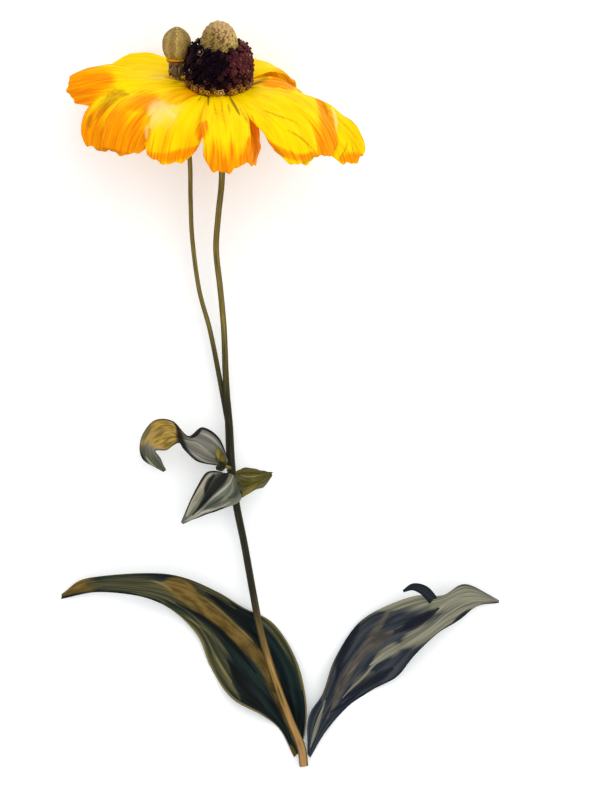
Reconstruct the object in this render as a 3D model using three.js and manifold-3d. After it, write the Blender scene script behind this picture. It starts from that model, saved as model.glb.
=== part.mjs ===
// A cut stem of shiny coneflower (Rudbeckia nitida), lying on a flat surface.
// Millimetres, +Z up. The surface is the plane Z = 0, +Y runs along the stem from its cut end to its bloom,
// and the origin is under the middle of the whole flower.
import * as THREE from "three";
import { mergeVertices } from "three/addons/utils/BufferGeometryUtils.js";
import Module from "manifold-3d";

const wasm = await Module();
wasm.setup();

// Driving dimensions.
const PETAL_THICKNESS = 0.8;
const LEAF_THICKNESS = 0.9;
const SEAT_GAP = 0.3; // left between pieces that touch
const FLAT_DEPTH = 0.12; // how far a resting blade is pressed into the surface, which leaves a flat spot

// The open bloom and the young head each have a centre, where the ring of rays grows, and an axis that
// lies along +Y and is tipped up from the surface by tilt.
const BLOOM = { centre: [-24.4, 124.2, 34.2], tilt: 24.5, coneRadius: 12.5, coneHeight: 17, tipHeight: 26.5 };
const YOUNG = { centre: [-41.3, 135.2, 32], tilt: 14, coneRadius: 5.9, coneHeight: 12.2 };

// Ray florets of the open bloom, one row each. Azimuth is seen along the axis, from the right towards the
// surface. Rise and droop are the angles at the root and the tip, all angles in degrees, and a larger delay
// keeps the droop for the end. Cup rolls the margins up, or down where it is negative. Base and taper are
// the shares of the width that are there at the root and gone at the tip. Skew cuts the tip off aslant.
const RAY_FIELDS = [
  "azimuth", "length", "halfWidth", "rise", "droop", "delay", "bend", "twist", "cup", "lift", "base", "taper",
  "skew",
];
const BLOOM_RAYS = [
  [274, 55.5, 10, 14, -60, 1.4, 0, 0, -0.5, -0.3, 0.42, 0, 0.07],
  [288, 40, 8.4, -4, -50, 1.3, -3, -50, -0.35, -0.8, 0.26, 0, 0],
  [307, 54, 10.5, 12, -62, 1.5, 2, 10, -0.5, -0.3, 0.3, 0.1, 0],
  [324, 55, 12.5, 15, -84, 1.7, 0, 0, -0.5, -0.3, 0.26, 0.15, 0],
  [336, 60.5, 9.8, 5, -77, 1.7, 0, 26, -0.35, -0.8, 0.26, 0, 0],
  [10, 32, 10.5, 10, -72, 1.4, -10, 0, -0.5, -0.8, 0.26, 0.05, 0],
  [53, 46, 12.5, 26, -108, 1.15, -14, 0, -0.4, -0.8, 0.45, 0.3, 0],
  [76, 44, 9, -6, -80, 1.3, 2, 0, 0.1, -0.8, 0.26, 0.34, 0],
  [97, 44, 6.6, -6, -80, 1.3, -16, 0, 0.1, -0.3, 0.26, 0.34, 0],
  [137, 42, 12.5, 1, -76, 1.2, 6, 0, -0.2, -1, 0.26, 0.34, 0],
  [142, 49, 11.2, 5, -27, 1.2, 24, -10, 0.3, -0.8, 0.08, 0.34, 0],
  [181, 52.5, 10.6, 10, -22, 1.2, -10, -60, -0.5, -0.3, 0.03, 0.2, 0],
  [197, 53.5, 12.5, 14, -98, 1.5, 0, -58, -0.5, -0.8, 0.26, 0, 0],
  [213, 48, 12, 13, -88, 1.4, 0, -50, -0.45, -0.3, 0.26, 0.1, 0],
  [239, 45, 13, 14, -79, 1.4, 8, 0, -0.6, -0.8, 0.3, 0.1, 0],
].map((row) => Object.fromEntries(row.map((value, k) => [RAY_FIELDS[k], value])));

// The stalks: points on each centre line, and the radius there.
const MAIN_STEM = [
  [9.4, -147.8, 1.75, 1.75], [8.2, -140.0, 2.9, 1.7], [4.3, -130.2, 4.2, 1.6], [-0.5, -117.7, 5.0, 1.5],
  [-5.0, -104.1, 5.4, 1.45], [-8.5, -91.4, 5.4, 1.4], [-10.9, -78.9, 5.3, 1.4], [-14.4, -59.4, 5.1, 1.4],
  [-17.7, -43.0, 5.2, 1.45], [-19.7, -28.5, 5.5, 1.75], [-20.5, -13.0, 5.8, 1.6], [-21.2, -2.0, 6.0, 1.3],
];
const BLOOM_STALK = [
  [-20.5, -13.0, 5.8, 1.4], [-21.8, 6.6, 6.6, 1.25], [-22.6, 26.6, 7.8, 1.15], [-24.0, 42.6, 9.4, 1.15],
  [-25.7, 58.6, 11.8, 1.15], [-24.8, 72.6, 14.6, 1.15], [-23.4, 86.6, 18.4, 1.2], [-23.6, 102.6, 24.4, 1.4],
  [-24.2, 115.0, 30.0, 1.8],
];
const YOUNG_STALK = [
  [-20.5, -13.0, 5.8, 1.15], [-24.2, 6.6, 5.4, 1.0], [-28.2, 26.6, 5.4, 0.9], [-32.5, 42.6, 6.2, 0.85],
  [-35.2, 62.6, 8.2, 0.85], [-35.9, 78.6, 11.0, 0.85], [-36.2, 94.6, 15.2, 0.9], [-38.2, 108.6, 20.8, 0.95],
  [-40.2, 119.4, 26.6, 1.0], [-41.2, 128.0, 30.3, 1.2],
];

// Each leaf: points along its midrib and along its two margins, all from root to tip.
const BASAL_LEAF_LEFT = {
  midrib: [
    [6.3, -143.4, 0.5], [3.6, -132.0, 0.6], [-1.0, -119.4, 1.2], [-6.8, -107.4, 1.8],
    [-15.6, -96.2, 3.0], [-27.2, -85.8, 6.6], [-39.4, -79.0, 10.6], [-53.0, -75.8, 11.8],
    [-73.0, -75.2, 6.6], [-87.5, -79.9, 0.6]],
  left: [
    [5.4, -144.2, 0.5], [0.0, -133.6, 1.2], [-7.2, -127.6, 3.6], [-19.6, -120.6, 4.4],
    [-28.0, -108.2, 0.8], [-33.4, -95.4, 2.2], [-44.6, -84.6, 6.4], [-56.2, -79.8, 8.8],
    [-74.2, -78.4, 4.8], [-87.8, -80.9, 0.5]],
  right: [
    [7.0, -142.6, 0.6], [9.8, -134.4, 1.4], [10.2, -121.0, 4.0], [6.2, -105.0, 3.0],
    [-2.6, -91.0, 1.0], [-14.6, -84.4, 1.9], [-26.2, -77.6, 7.2], [-46.2, -70.8, 11.0],
    [-76.2, -72.4, 6.4], [-87.6, -79.0, 0.7]],
};
const BASAL_LEAF_RIGHT = {
  midrib: [
    [11.4, -143.8, 1.6], [15.4, -133.0, 2.3], [20.6, -122.4, 4.2], [26.6, -112.4, 7.4],
    [36.0, -101.6, 10.4], [48.4, -95.0, 12.2], [59.0, -89.6, 12.2], [67.0, -83.2, 10.0],
    [76.6, -80.2, 5.8], [87.4, -82.0, 0.7]],
  left: [
    [10.8, -142.8, 2.0], [11.2, -129.0, 4.4], [16.6, -118.8, 6.2], [21.4, -105.6, 5.4],
    [30.4, -91.4, 2.8], [42.0, -83.8, 5.6], [54.0, -79.6, 10.6], [64.8, -79.2, 12.6],
    [74.6, -75.2, 9.2], [87.4, -81.5, 0.8]],
  right: [
    [12.0, -144.4, 1.3], [18.6, -133.0, 1.8], [27.0, -124.4, 0.8], [36.2, -117.4, 0.4],
    [46.0, -112.4, 4.4], [53.0, -104.2, 9.2], [61.2, -96.0, 9.6], [69.4, -90.6, 6.2],
    [77.6, -84.4, 3.6], [87.4, -82.5, 0.6]],
};
const BASAL_LEAF_RIGHT_FOLD = {
  midrib: [
    [61.2, -81.0, 12.3], [58.4, -78.6, 15.6], [55.6, -76.4, 17.2], [52.4, -76.0, 17.0],
    [49.0, -77.8, 15.4]],
  left: [
    [59.6, -82.8, 12.0], [57.0, -79.8, 14.8], [54.8, -78.2, 16.2], [52.4, -77.4, 15.8],
    [49.2, -78.2, 15.1]],
  right: [
    [63.0, -80.8, 12.2], [59.6, -76.6, 16.0], [56.0, -74.8, 17.6], [52.2, -74.8, 17.6],
    [48.8, -77.4, 15.7]],
};
const STEM_LEAF_CURLED = {
  midrib: [
    [-21.6, -26.8, 7.4], [-27.4, -23.4, 9.4], [-33.4, -19.4, 12.2], [-38.8, -16.6, 15.4],
    [-43.4, -13.8, 18.4], [-48.8, -14.6, 18.6], [-52.6, -19.0, 15.6], [-51.6, -25.2, 11.6],
    [-46.2, -29.8, 8.4]],
  left: [
    [-22.0, -27.8, 7.0], [-27.6, -27.4, 7.6], [-33.4, -25.8, 9.6], [-38.0, -21.8, 13.6],
    [-40.6, -18.6, 17.6], [-45.6, -21.4, 18.4], [-49.8, -21.8, 16.0], [-47.8, -25.2, 11.2],
    [-45.7, -29.4, 8.6]],
  right: [
    [-20.8, -25.4, 7.6], [-24.6, -16.4, 11.4], [-31.2, -12.4, 14.6], [-36.8, -15.8, 16.6],
    [-42.8, -9.8, 17.2], [-50.4, -9.6, 14.6], [-55.6, -16.2, 11.4], [-55.0, -25.0, 8.4],
    [-46.8, -30.2, 8.0]],
};
const STEM_LEAF_FRONT = {
  midrib: [
    [-20.0, -30.8, 8.6], [-23.4, -35.4, 11.2], [-28.2, -40.2, 12.2], [-33.8, -45.8, 10.4],
    [-39.4, -50.6, 6.8]],
  left: [
    [-18.8, -31.4, 8.6], [-15.8, -41.0, 13.2], [-24.6, -45.4, 13.8], [-33.0, -48.4, 10.4],
    [-38.9, -51.0, 6.6]],
  right: [
    [-21.4, -30.6, 8.8], [-29.0, -30.0, 14.4], [-33.6, -36.6, 15.6], [-36.6, -42.8, 12.6],
    [-39.8, -50.2, 6.8]],
};
const STEM_LEAF_RIGHT = {
  midrib: [
    [-18.4, -31.4, 7.7], [-14.8, -33.6, 9.9], [-11.4, -34.0, 12.0], [-7.4, -32.8, 12.0],
    [-3.4, -30.8, 10.2]],
  left: [
    [-17.8, -29.9, 8.0], [-14.2, -28.4, 9.6], [-10.0, -28.9, 10.4], [-6.2, -29.8, 10.2],
    [-3.0, -30.2, 9.9]],
  right: [
    [-18.9, -33.2, 7.4], [-17.0, -40.8, 8.8], [-11.2, -37.8, 13.6], [-6.4, -35.8, 14.0],
    [-3.2, -31.6, 10.6]],
};
const AXILLARY_LEAVES = [
  { midrib: [[-21.8, -27.8, 9.6], [-24.0, -24.4, 12.6], [-25.2, -20.4, 14.6]],
    left: [[-22.4, -28.2, 9.6], [-26.0, -25.2, 12.2], [-25.6, -20.6, 14.6]],
    right: [[-21.2, -27.4, 9.6], [-22.4, -23.4, 13.0], [-24.8, -20.2, 14.6]] },
  { midrib: [[-21.8, -28.0, 9.7], [-23.8, -28.3, 12.4], [-25.8, -28.7, 13.7]],
    left: [[-21.8, -28.5, 9.8], [-23.4, -29.9, 12.7], [-25.7, -29.2, 13.7]],
    right: [[-21.8, -27.2, 9.7], [-24.0, -26.4, 12.5], [-25.9, -28.2, 13.7]] },
];

const radians = THREE.MathUtils.degToRad;
const step = THREE.MathUtils.smoothstep;
const vector = (p) => new THREE.Vector3(p[0], p[1], p[2]);

// A closed geometry as a manifold-3d solid, and back.
function toSolid(geometry) {
  const bare = new THREE.BufferGeometry().setAttribute("position", geometry.getAttribute("position"));
  if (geometry.index) bare.setIndex(geometry.index);
  const merged = mergeVertices(bare, 1e-4);
  return new wasm.Manifold(new wasm.Mesh({
    numProp: 3,
    vertProperties: merged.attributes.position.array,
    triVerts: new Uint32Array(merged.index.array),
  }));
}

function toGeometry(solid) {
  const mesh = solid.getMesh();
  const geometry = new THREE.BufferGeometry();
  geometry.setAttribute("position", new THREE.Float32BufferAttribute(mesh.vertProperties, 3));
  geometry.setIndex(new THREE.Uint32BufferAttribute(mesh.triVerts, 1));
  geometry.computeVertexNormals();
  return geometry;
}

const joined = (solids) => wasm.Manifold.union(solids);

// A thin blade of even thickness around a grid of points, grid[i][j] with i along and j across.
function bladeGeometry(grid, thickness) {
  const rows = grid.length;
  const columns = grid[0].length;
  const normalAt = (i, j) => {
    const along = grid[Math.min(i + 1, rows - 1)][j].clone().sub(grid[Math.max(i - 1, 0)][j]);
    const across = grid[i][Math.min(j + 1, columns - 1)].clone().sub(grid[i][Math.max(j - 1, 0)]);
    return along.cross(across).normalize();
  };
  const positions = [];
  for (const side of [0.5, -0.5])
    grid.forEach((row, i) => row.forEach((point, j) => {
      const moved = point.clone().addScaledVector(normalAt(i, j), side * thickness);
      positions.push(moved.x, moved.y, moved.z);
    }));
  const top = (i, j) => i * columns + j;
  const bottom = (i, j) => rows * columns + top(i, j);
  const faces = [];
  const quad = (a, b, c, d) => faces.push(a, b, c, a, c, d);
  for (let i = 0; i < rows - 1; i++)
    for (let j = 0; j < columns - 1; j++) {
      quad(top(i, j), top(i + 1, j), top(i + 1, j + 1), top(i, j + 1));
      faces.push(bottom(i, j), bottom(i + 1, j + 1), bottom(i + 1, j));
      faces.push(bottom(i, j), bottom(i, j + 1), bottom(i + 1, j + 1));
    }
  for (let i = 0; i < rows - 1; i++) {
    quad(top(i, 0), bottom(i, 0), bottom(i + 1, 0), top(i + 1, 0));
    quad(top(i, columns - 1), top(i + 1, columns - 1), bottom(i + 1, columns - 1), bottom(i, columns - 1));
  }
  for (let j = 0; j < columns - 1; j++) {
    quad(top(0, j), top(0, j + 1), bottom(0, j + 1), bottom(0, j));
    quad(top(rows - 1, j), bottom(rows - 1, j), bottom(rows - 1, j + 1), top(rows - 1, j + 1));
  }
  const geometry = new THREE.BufferGeometry();
  geometry.setAttribute("position", new THREE.Float32BufferAttribute(positions, 3));
  geometry.setIndex(faces);
  return geometry;
}

// A round stalk through points that each give x, y, z and the radius.
function stalkSolid(points, sides) {
  const curve = new THREE.CatmullRomCurve3(points.map(vector), false, "catmullrom", 0.5);
  const spans = points.length - 1;
  const rings = Math.round(spans * 1.5);
  const frames = curve.computeFrenetFrames(rings, false);
  const positions = [];
  for (let i = 0; i <= rings; i++) {
    const t = i / rings;
    const at = Math.min(Math.floor(t * spans), spans - 1);
    const radius = THREE.MathUtils.lerp(points[at][3], points[at + 1][3], t * spans - at);
    const centre = curve.getPoint(t);
    for (let k = 0; k < sides; k++) {
      const angle = (k / sides) * 2 * Math.PI;
      const point = centre.clone()
        .addScaledVector(frames.normals[i], Math.cos(angle) * radius)
        .addScaledVector(frames.binormals[i], Math.sin(angle) * radius);
      positions.push(point.x, point.y, point.z);
    }
  }
  for (const end of [curve.getPoint(0), curve.getPoint(1)]) positions.push(end.x, end.y, end.z);
  const first = (rings + 1) * sides;
  const faces = [];
  for (let i = 0; i < rings; i++)
    for (let k = 0; k < sides; k++) {
      const a = i * sides + k;
      const b = i * sides + ((k + 1) % sides);
      faces.push(a, b, b + sides, a, b + sides, a + sides);
    }
  for (let k = 0; k < sides; k++) {
    const next = (k + 1) % sides;
    faces.push(first, next, k, first + 1, rings * sides + k, rings * sides + next);
  }
  const geometry = new THREE.BufferGeometry();
  geometry.setAttribute("position", new THREE.Float32BufferAttribute(positions, 3));
  geometry.setIndex(faces);
  return toSolid(geometry);
}

// A solid of revolution about +Z from [radius, height] pairs, given from the bottom up.
function turnedSolid(profile, sides) {
  const points = profile.map(([r, h]) => new THREE.Vector2(r, h));
  return toSolid(new THREE.LatheGeometry(points, sides).rotateX(Math.PI / 2));
}

// A leaf blade lofted over its midrib and margins. Each half is arched, and the margins wave.
function leafSolid(leaf, rows, columns, arch, wave) {
  const line = (points) => new THREE.CatmullRomCurve3(points.map(vector), false, "catmullrom", 0.5);
  const [midrib, left, right] = [line(leaf.midrib), line(leaf.left), line(leaf.right)];
  const grid = [];
  for (let i = 0; i <= rows; i++) {
    const u = i / rows;
    const centre = midrib.getPoint(u);
    const sides = [left.getPoint(u), right.getPoint(u)];
    const normal = midrib.getTangent(u).cross(sides[0].clone().sub(sides[1])).normalize();
    grid.push(Array.from({ length: columns + 1 }, (_, j) => {
      const v = (2 * j) / columns - 1;
      const out = Math.abs(v);
      const margin = sides[v < 0 ? 0 : 1];
      const width = margin.distanceTo(centre);
      const arched = arch * width * 4 * out * (1 - out);
      const waved = wave * step(width, 0, 4) * out * out * Math.sin(u * 26 + v * 2);
      const point = centre.clone().lerp(margin, out).addScaledVector(normal, -arched - waved);
      point.z = Math.max(point.z, LEAF_THICKNESS / 2 - FLAT_DEPTH);
      return point;
    }));
  }
  return toSolid(bladeGeometry(grid, LEAF_THICKNESS));
}

// A head's own frame: +Z along its axis, +X to the right, and up, the way away from the surface.
class Head {
  constructor(name, spec) {
    this.tilt = radians(spec.tilt);
    this.height = spec.centre[2];
    this.up = new THREE.Vector3(0, -Math.cos(this.tilt), Math.sin(this.tilt));
    this.group = new THREE.Group();
    this.group.position.set(...spec.centre);
    this.group.rotation.x = this.tilt - Math.PI / 2;
    this.group.name = name;
  }

  above(point) {
    return this.height + point.dot(this.up);
  }

  cutAtSurface(solid) {
    return solid.trimByPlane([this.up.x, this.up.y, this.up.z], -this.height);
  }
}

// The grid of one ray floret. Its midline leaves the ring at its azimuth, rises, droops towards the tip and,
// where it meets the surface, runs on along it. Its section is an arc, narrow at the root.
function rayGrid(head, ray, root, rows, columns) {
  const marches = 160;
  const rest = PETAL_THICKNESS / 2 - FLAT_DEPTH;
  const reach = 9; // the height at which a falling ray begins to turn along the surface
  const stations = [];
  const azimuth = radians(ray.azimuth);
  const point = new THREE.Vector3(root * Math.cos(azimuth), root * Math.sin(azimuth), ray.lift);
  for (let m = 0; m <= marches; m++) {
    const f = m / marches;
    const pitch = radians(ray.rise + (ray.droop - ray.rise) * Math.pow(f, ray.delay));
    const heading = azimuth + radians(ray.bend) * f;
    const along = new THREE.Vector3(
      Math.cos(pitch) * Math.cos(heading), Math.cos(pitch) * Math.sin(heading), Math.sin(pitch));
    const fall = along.dot(head.up);
    if (fall < 0) {
      const free = step(head.above(point) - rest, 0, reach);
      along.addScaledVector(head.up, -fall * (1 - free)).normalize();
    }
    const across = new THREE.Vector3(-Math.sin(heading), Math.cos(heading), 0);
    across.addScaledVector(along, -across.dot(along)).normalize();
    across.applyAxisAngle(along, radians(ray.twist) * step(f, 0.3, 1));
    stations.push({ point: point.clone(), across, normal: along.clone().cross(across) });
    point.addScaledVector(along, ray.length / marches);
  }
  const grid = [];
  for (let i = 0; i <= rows; i++) {
    const u = i / rows;
    const swell = Math.sin((Math.PI / 2) * Math.min(u / 0.6, 1));
    const taper = ray.taper * Math.pow(step(u, 0.6, 1), 1.5);
    const width = ray.halfWidth * (ray.base + (1 - ray.base) * Math.pow(swell, 1.2) - taper);
    const curl = ray.cup * (0.5 + 0.5 * u);
    const row = [];
    for (let j = 0; j <= columns; j++) {
      const v = (2 * j) / columns - 1;
      const teeth = 0.06 * v * v + 0.12 * v * v * v * v + 0.012 * (1 - Math.cos(3 * Math.PI * v))
        + (ray.skew * (1 + v)) / 2;
      const station = stations[Math.round(marches * (u - teeth * Math.pow(u, 4)))];
      const side = (width * Math.sin(curl * v)) / curl;
      const rise = (width * (1 - Math.cos(curl * v))) / curl
        + 0.9 * u * Math.abs(v) * Math.sin(u * 11 + ray.azimuth + (v < 0 ? 2 : 0));
      const place = station.point.clone()
        .addScaledVector(station.across, side)
        .addScaledVector(station.normal, rise);
      place.addScaledVector(head.up, Math.max(rest - head.above(place), 0));
      row.push(place);
    }
    grid.push(row);
  }
  return grid;
}

const raySolid = (head, ray, root, rows, columns) => toSolid(
  bladeGeometry(rayGrid(head, ray, root, rows, columns), PETAL_THICKNESS));

// A closed cone of florets about +Z, given from the bottom up as [radius, height] pairs. Every other point
// of the surface stands out by proud, which makes one low pyramid for a floret or a small group of them.
function floretSolid(outline, sides, proud) {
  const rings = outline.length;
  const positions = [];
  outline.forEach(([r, h], i) => {
    for (let k = 0; k < sides; k++) {
      const angle = (k / sides) * 2 * Math.PI;
      const stands = i > 1 && i < rings - 1 && (i + k) % 2 === 0 ? proud : 0;
      positions.push((r + stands) * Math.cos(angle), (r + stands) * Math.sin(angle), h + stands * 0.3);
    }
  });
  positions.push(0, 0, outline[0][1], 0, 0, outline[rings - 1][1]);
  const floor = rings * sides;
  const faces = [];
  for (let k = 0; k < sides; k++) {
    const next = (k + 1) % sides;
    for (let i = 0; i < rings - 1; i++) {
      const [a, b, c, d] = [i * sides + k, i * sides + next, (i + 1) * sides + next, (i + 1) * sides + k];
      if ((i + k) % 2 === 0) faces.push(a, b, d, b, c, d);
      else faces.push(a, b, c, a, c, d);
    }
    faces.push(floor, next, k, floor + 1, (rings - 1) * sides + k, (rings - 1) * sides + next);
  }
  const geometry = new THREE.BufferGeometry();
  geometry.setAttribute("position", new THREE.Float32BufferAttribute(positions, 3));
  geometry.setIndex(faces);
  return toSolid(geometry);
}

// Heights evenly spread from low to high, as outline pairs, with ends that close to a flat.
const outlinePairs = (radiusAt, low, high, rings) => Array.from({ length: rings + 1 }, (_, k) => {
  const h = low + ((high - low) * k) / rings;
  return [radiusAt(h), h];
});

// A ring of small bracts on a shallow cup, bent back along the stalk. The cup is [radius, height] pairs.
function bractSolid(head, cup, count, length, halfWidth, root, rise, droop) {
  const bracts = Array.from({ length: count }, (_, k) => {
    const bract = {
      azimuth: (k * 360) / count + 7, length, halfWidth, rise, droop, delay: 1.3, bend: 0, twist: 0,
      cup: -0.5, lift: cup[1][1] + 0.5, base: 0.26, taper: 0.34, skew: 0,
    };
    return raySolid(head, bract, root, 3, 2);
  });
  return head.cutAtSurface(joined([turnedSolid(cup, 20), ...bracts]));
}

const material = (color, roughness) => new THREE.MeshStandardMaterial({ color, roughness, metalness: 0 });
const STEM_GREEN = material(0x4a4a2c, 0.5);
const LEAF_GREEN = material(0x2c3a34, 0.35);
const STEM_LEAF_GREEN = material(0x5b604a, 0.4);
const SHOOT_GREEN = material(0x6b6428, 0.5);
const RAY_YELLOW = material(0xfcb800, 0.55);
const DISC_PURPLE = material(0x2a0f14, 0.5);
const BUD_OLIVE = material(0x9c7c3a, 0.6);
const FLORET_BROWN = material(0x8a5416, 0.6);
const BRACT_GREEN = material(0x3c4228, 0.55);

const flower = new THREE.Group();

function add(parent, name, solid, finish) {
  const mesh = new THREE.Mesh(toGeometry(solid), finish);
  mesh.name = name;
  parent.add(mesh);
}

// The open bloom, from the stalk's flared top upwards: bracts, rays, outer florets, disc florets, buds.
const bloom = new Head("bloom", BLOOM);
const RING_RADIUS = 11.6;
const RAY_ROOT = 9.5;
const FLARE_TOP = -1.9;

const rays = BLOOM_RAYS.map((ray) => raySolid(bloom, ray, RAY_ROOT, 8, 5));
const rayRing = turnedSolid([
  [0, -1.6], [RING_RADIUS - 0.8, -1.6], [RING_RADIUS, -0.6], [RING_RADIUS - 0.4, 0.6], [0, 0.6],
], 26);
add(bloom.group, "bloom_rays", bloom.cutAtSurface(joined([rayRing, ...rays])), RAY_YELLOW);

const bloomCup = [
  [7.3, FLARE_TOP - 1.2], [9.2, FLARE_TOP - 1.0], [9.8, FLARE_TOP], [7.3, FLARE_TOP], [7.3, FLARE_TOP - 1.2],
];
add(bloom.group, "bloom_bracts", bractSolid(bloom, bloomCup, 10, 11, 2.1, 8.2, -28, -76), BRACT_GREEN);

const coneRadiusAt = (h) => (
  BLOOM.coneRadius * Math.sqrt(1 - Math.pow(Math.abs(h - 7.5) / 12.6, 2.6)) - 0.9);
const cone = floretSolid(outlinePairs(coneRadiusAt, 1.5, BLOOM.coneHeight, 11), 28, 1.2);
const seatLow = BLOOM.coneHeight - 1;
const tipSeat = turnedSolid([
  [0, seatLow], [7.6, seatLow], [7.6, seatLow + 3], [0, seatLow + 3], [0, seatLow],
], 20);
add(bloom.group, "bloom_disc_florets", cone.subtract(tipSeat), DISC_PURPLE);
const tipRadiusAt = (h) => {
  const climbed = Math.max(h - 15.4, 0) / (BLOOM.tipHeight - 15.1);
  return 7.1 * Math.sqrt(1 - Math.pow(climbed, 2.3));
};
const tipOutline = outlinePairs(tipRadiusAt, seatLow + SEAT_GAP, BLOOM.tipHeight, 9);
add(bloom.group, "bloom_disc_buds", floretSolid(tipOutline, 20, 0.35), BUD_OLIVE);

const collarInner = coneRadiusAt(3) + 0.6 + SEAT_GAP;
const OUTER_FLORETS = 26;
const collarSides = OUTER_FLORETS * 2;
const collarPositions = [];
for (let k = 0; k < collarSides; k++) {
  const angle = (k / collarSides) * 2 * Math.PI;
  const reach = collarInner + (k % 2 === 0 ? 2.9 : 1.5);
  for (const [r, h] of [[collarInner, 1.6], [reach, 2.1], [collarInner, 3.5]])
    collarPositions.push(r * Math.cos(angle), r * Math.sin(angle), h);
}
const collarFaces = [];
for (let k = 0; k < collarSides; k++)
  for (let edge = 0; edge < 3; edge++) {
    const [a, b] = [k * 3 + edge, k * 3 + ((edge + 1) % 3)];
    const [c, d] = [((k + 1) % collarSides) * 3 + ((edge + 1) % 3), ((k + 1) % collarSides) * 3 + edge];
    collarFaces.push(a, d, b, b, d, c);
  }
const collar = new THREE.BufferGeometry();
collar.setAttribute("position", new THREE.Float32BufferAttribute(collarPositions, 3));
collar.setIndex(collarFaces);
add(bloom.group, "bloom_outer_florets", toSolid(collar), FLORET_BROWN);

// The young head: bracts pressed back along its stalk, short rays on its far side, and an olive cone of
// closed florets.
const young = new Head("young_head", YOUNG);
const youngCup = [[2.5, -2.9], [3.1, -2.7], [3.5, -1.5], [2.5, -1.5], [2.5, -2.9]];
add(young.group, "young_bracts", bractSolid(young, youngCup, 6, 5.6, 1.7, 2.9, -84, -106), BRACT_GREEN);
const youngRays = [50, 85, 120].map((azimuth) => {
  const ray = {
    azimuth, length: 4.4, halfWidth: 1.7, rise: -20, droop: -70, delay: 1.3, bend: 0, twist: 0, cup: -0.4,
    lift: -0.5, base: 0.4, taper: 0.34, skew: 0,
  };
  return raySolid(young, ray, 3.2, 4, 2);
});
const youngRing = turnedSolid([[0, -1.2], [3.9, -1.2], [4.2, -0.6], [3.9, 0], [0, 0]], 18);
add(young.group, "young_rays", joined([youngRing, ...youngRays]), RAY_YELLOW);
const youngRadiusAt = (h) => {
  const [power, root] = h < 5.4 ? [2.6, 0.5] : [2.4, 0.75];
  return YOUNG.coneRadius * Math.pow(1 - Math.pow(Math.abs(h - 5.4) / 7.1, power), root) - 0.3;
};
const youngCone = floretSolid(outlinePairs(youngRadiusAt, SEAT_GAP, YOUNG.coneHeight, 10), 20, 0.4);
add(young.group, "young_disc_buds", youngCone, BUD_OLIVE);

// The stem: main stem, both stalks and their flared tops.
function flareOn(head, profile) {
  head.group.updateMatrix();
  return turnedSolid(profile, 20).transform(head.group.matrix.toArray());
}

function stemSolid(extra) {
  const thicker = (points) => points.map(([x, y, z, r]) => [x, y, z, r + extra]);
  return joined([
    stalkSolid(thicker(MAIN_STEM), 10),
    stalkSolid(thicker(BLOOM_STALK), 8),
    stalkSolid(thicker(YOUNG_STALK), 6),
    flareOn(bloom, [
      [0, -11], [1.9 + extra, -11], [2.6 + extra, -6.5], [4.6 + extra, -4], [7 + extra, FLARE_TOP - 1],
      [7 + extra, FLARE_TOP], [0, FLARE_TOP],
    ]),
    flareOn(young, [
      [0, -8.4], [1.2 + extra, -8.4], [1.4 + extra, -5.5], [2.2 + extra, -2.9], [2.2 + extra, -1.5],
      [0, -1.5],
    ]),
  ]);
}
const cutAtSurface = (solid) => solid.trimByPlane([0, 0, 1], 0);
add(flower, "stem", cutAtSurface(stemSolid(0)), STEM_GREEN);

// Leaves stop just short of the stem that carries them.
const stemRoom = stemSolid(SEAT_GAP);
const addLeaf = (name, blade, finish) => add(flower, name, cutAtSurface(blade).subtract(stemRoom), finish);
addLeaf("basal_leaf_left", leafSolid(BASAL_LEAF_LEFT, 18, 6, 0.06, 0.7), LEAF_GREEN);
addLeaf("basal_leaf_right", joined([
  leafSolid(BASAL_LEAF_RIGHT, 18, 6, 0.06, 0.7),
  leafSolid(BASAL_LEAF_RIGHT_FOLD, 6, 2, 0.1, 0),
]), LEAF_GREEN);
addLeaf("stem_leaf_curled", leafSolid(STEM_LEAF_CURLED, 14, 4, 0.08, 0.3), STEM_LEAF_GREEN);
addLeaf("stem_leaf_front", leafSolid(STEM_LEAF_FRONT, 9, 4, 0.08, 0.3), STEM_LEAF_GREEN);
addLeaf("stem_leaf_right", leafSolid(STEM_LEAF_RIGHT, 8, 4, 0.08, 0.3), STEM_LEAF_GREEN);

const shootStub = stalkSolid([
  [-20.2, -28.6, 7.2, 0.8], [-20.9, -28.3, 8.6, 0.8], [-21.9, -27.8, 10.4, 0.6],
], 6);
const shootLeaves = AXILLARY_LEAVES.map((leaf) => leafSolid(leaf, 5, 2, 0.05, 0));
add(flower, "axillary_shoot", joined([shootStub, ...shootLeaves]).subtract(stemRoom), SHOOT_GREEN);

flower.add(bloom.group, young.group);

export default flower;
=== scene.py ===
import math
import bpy
import numpy as np
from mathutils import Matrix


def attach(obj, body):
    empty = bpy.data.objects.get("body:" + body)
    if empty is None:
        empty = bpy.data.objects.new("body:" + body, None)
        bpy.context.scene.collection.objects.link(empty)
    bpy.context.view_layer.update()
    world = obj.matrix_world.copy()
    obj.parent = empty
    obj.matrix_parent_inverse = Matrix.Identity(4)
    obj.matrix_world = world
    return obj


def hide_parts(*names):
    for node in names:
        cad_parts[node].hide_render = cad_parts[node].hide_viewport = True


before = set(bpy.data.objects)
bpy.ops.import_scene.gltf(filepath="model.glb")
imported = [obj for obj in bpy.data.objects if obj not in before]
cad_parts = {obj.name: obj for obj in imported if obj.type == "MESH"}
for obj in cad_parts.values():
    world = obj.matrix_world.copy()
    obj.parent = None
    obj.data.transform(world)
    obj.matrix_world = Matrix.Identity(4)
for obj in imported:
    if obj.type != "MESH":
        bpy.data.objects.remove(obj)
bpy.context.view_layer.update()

# The studio: a wide pale floor that the flower lies on, which glows a little so that shadows on it stay
# faint, a soft even sky, and one broad light from the upper right. The camera looks straight down from far
# above, so that the flower shows as flat as on a plate.
scene = bpy.context.scene
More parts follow.
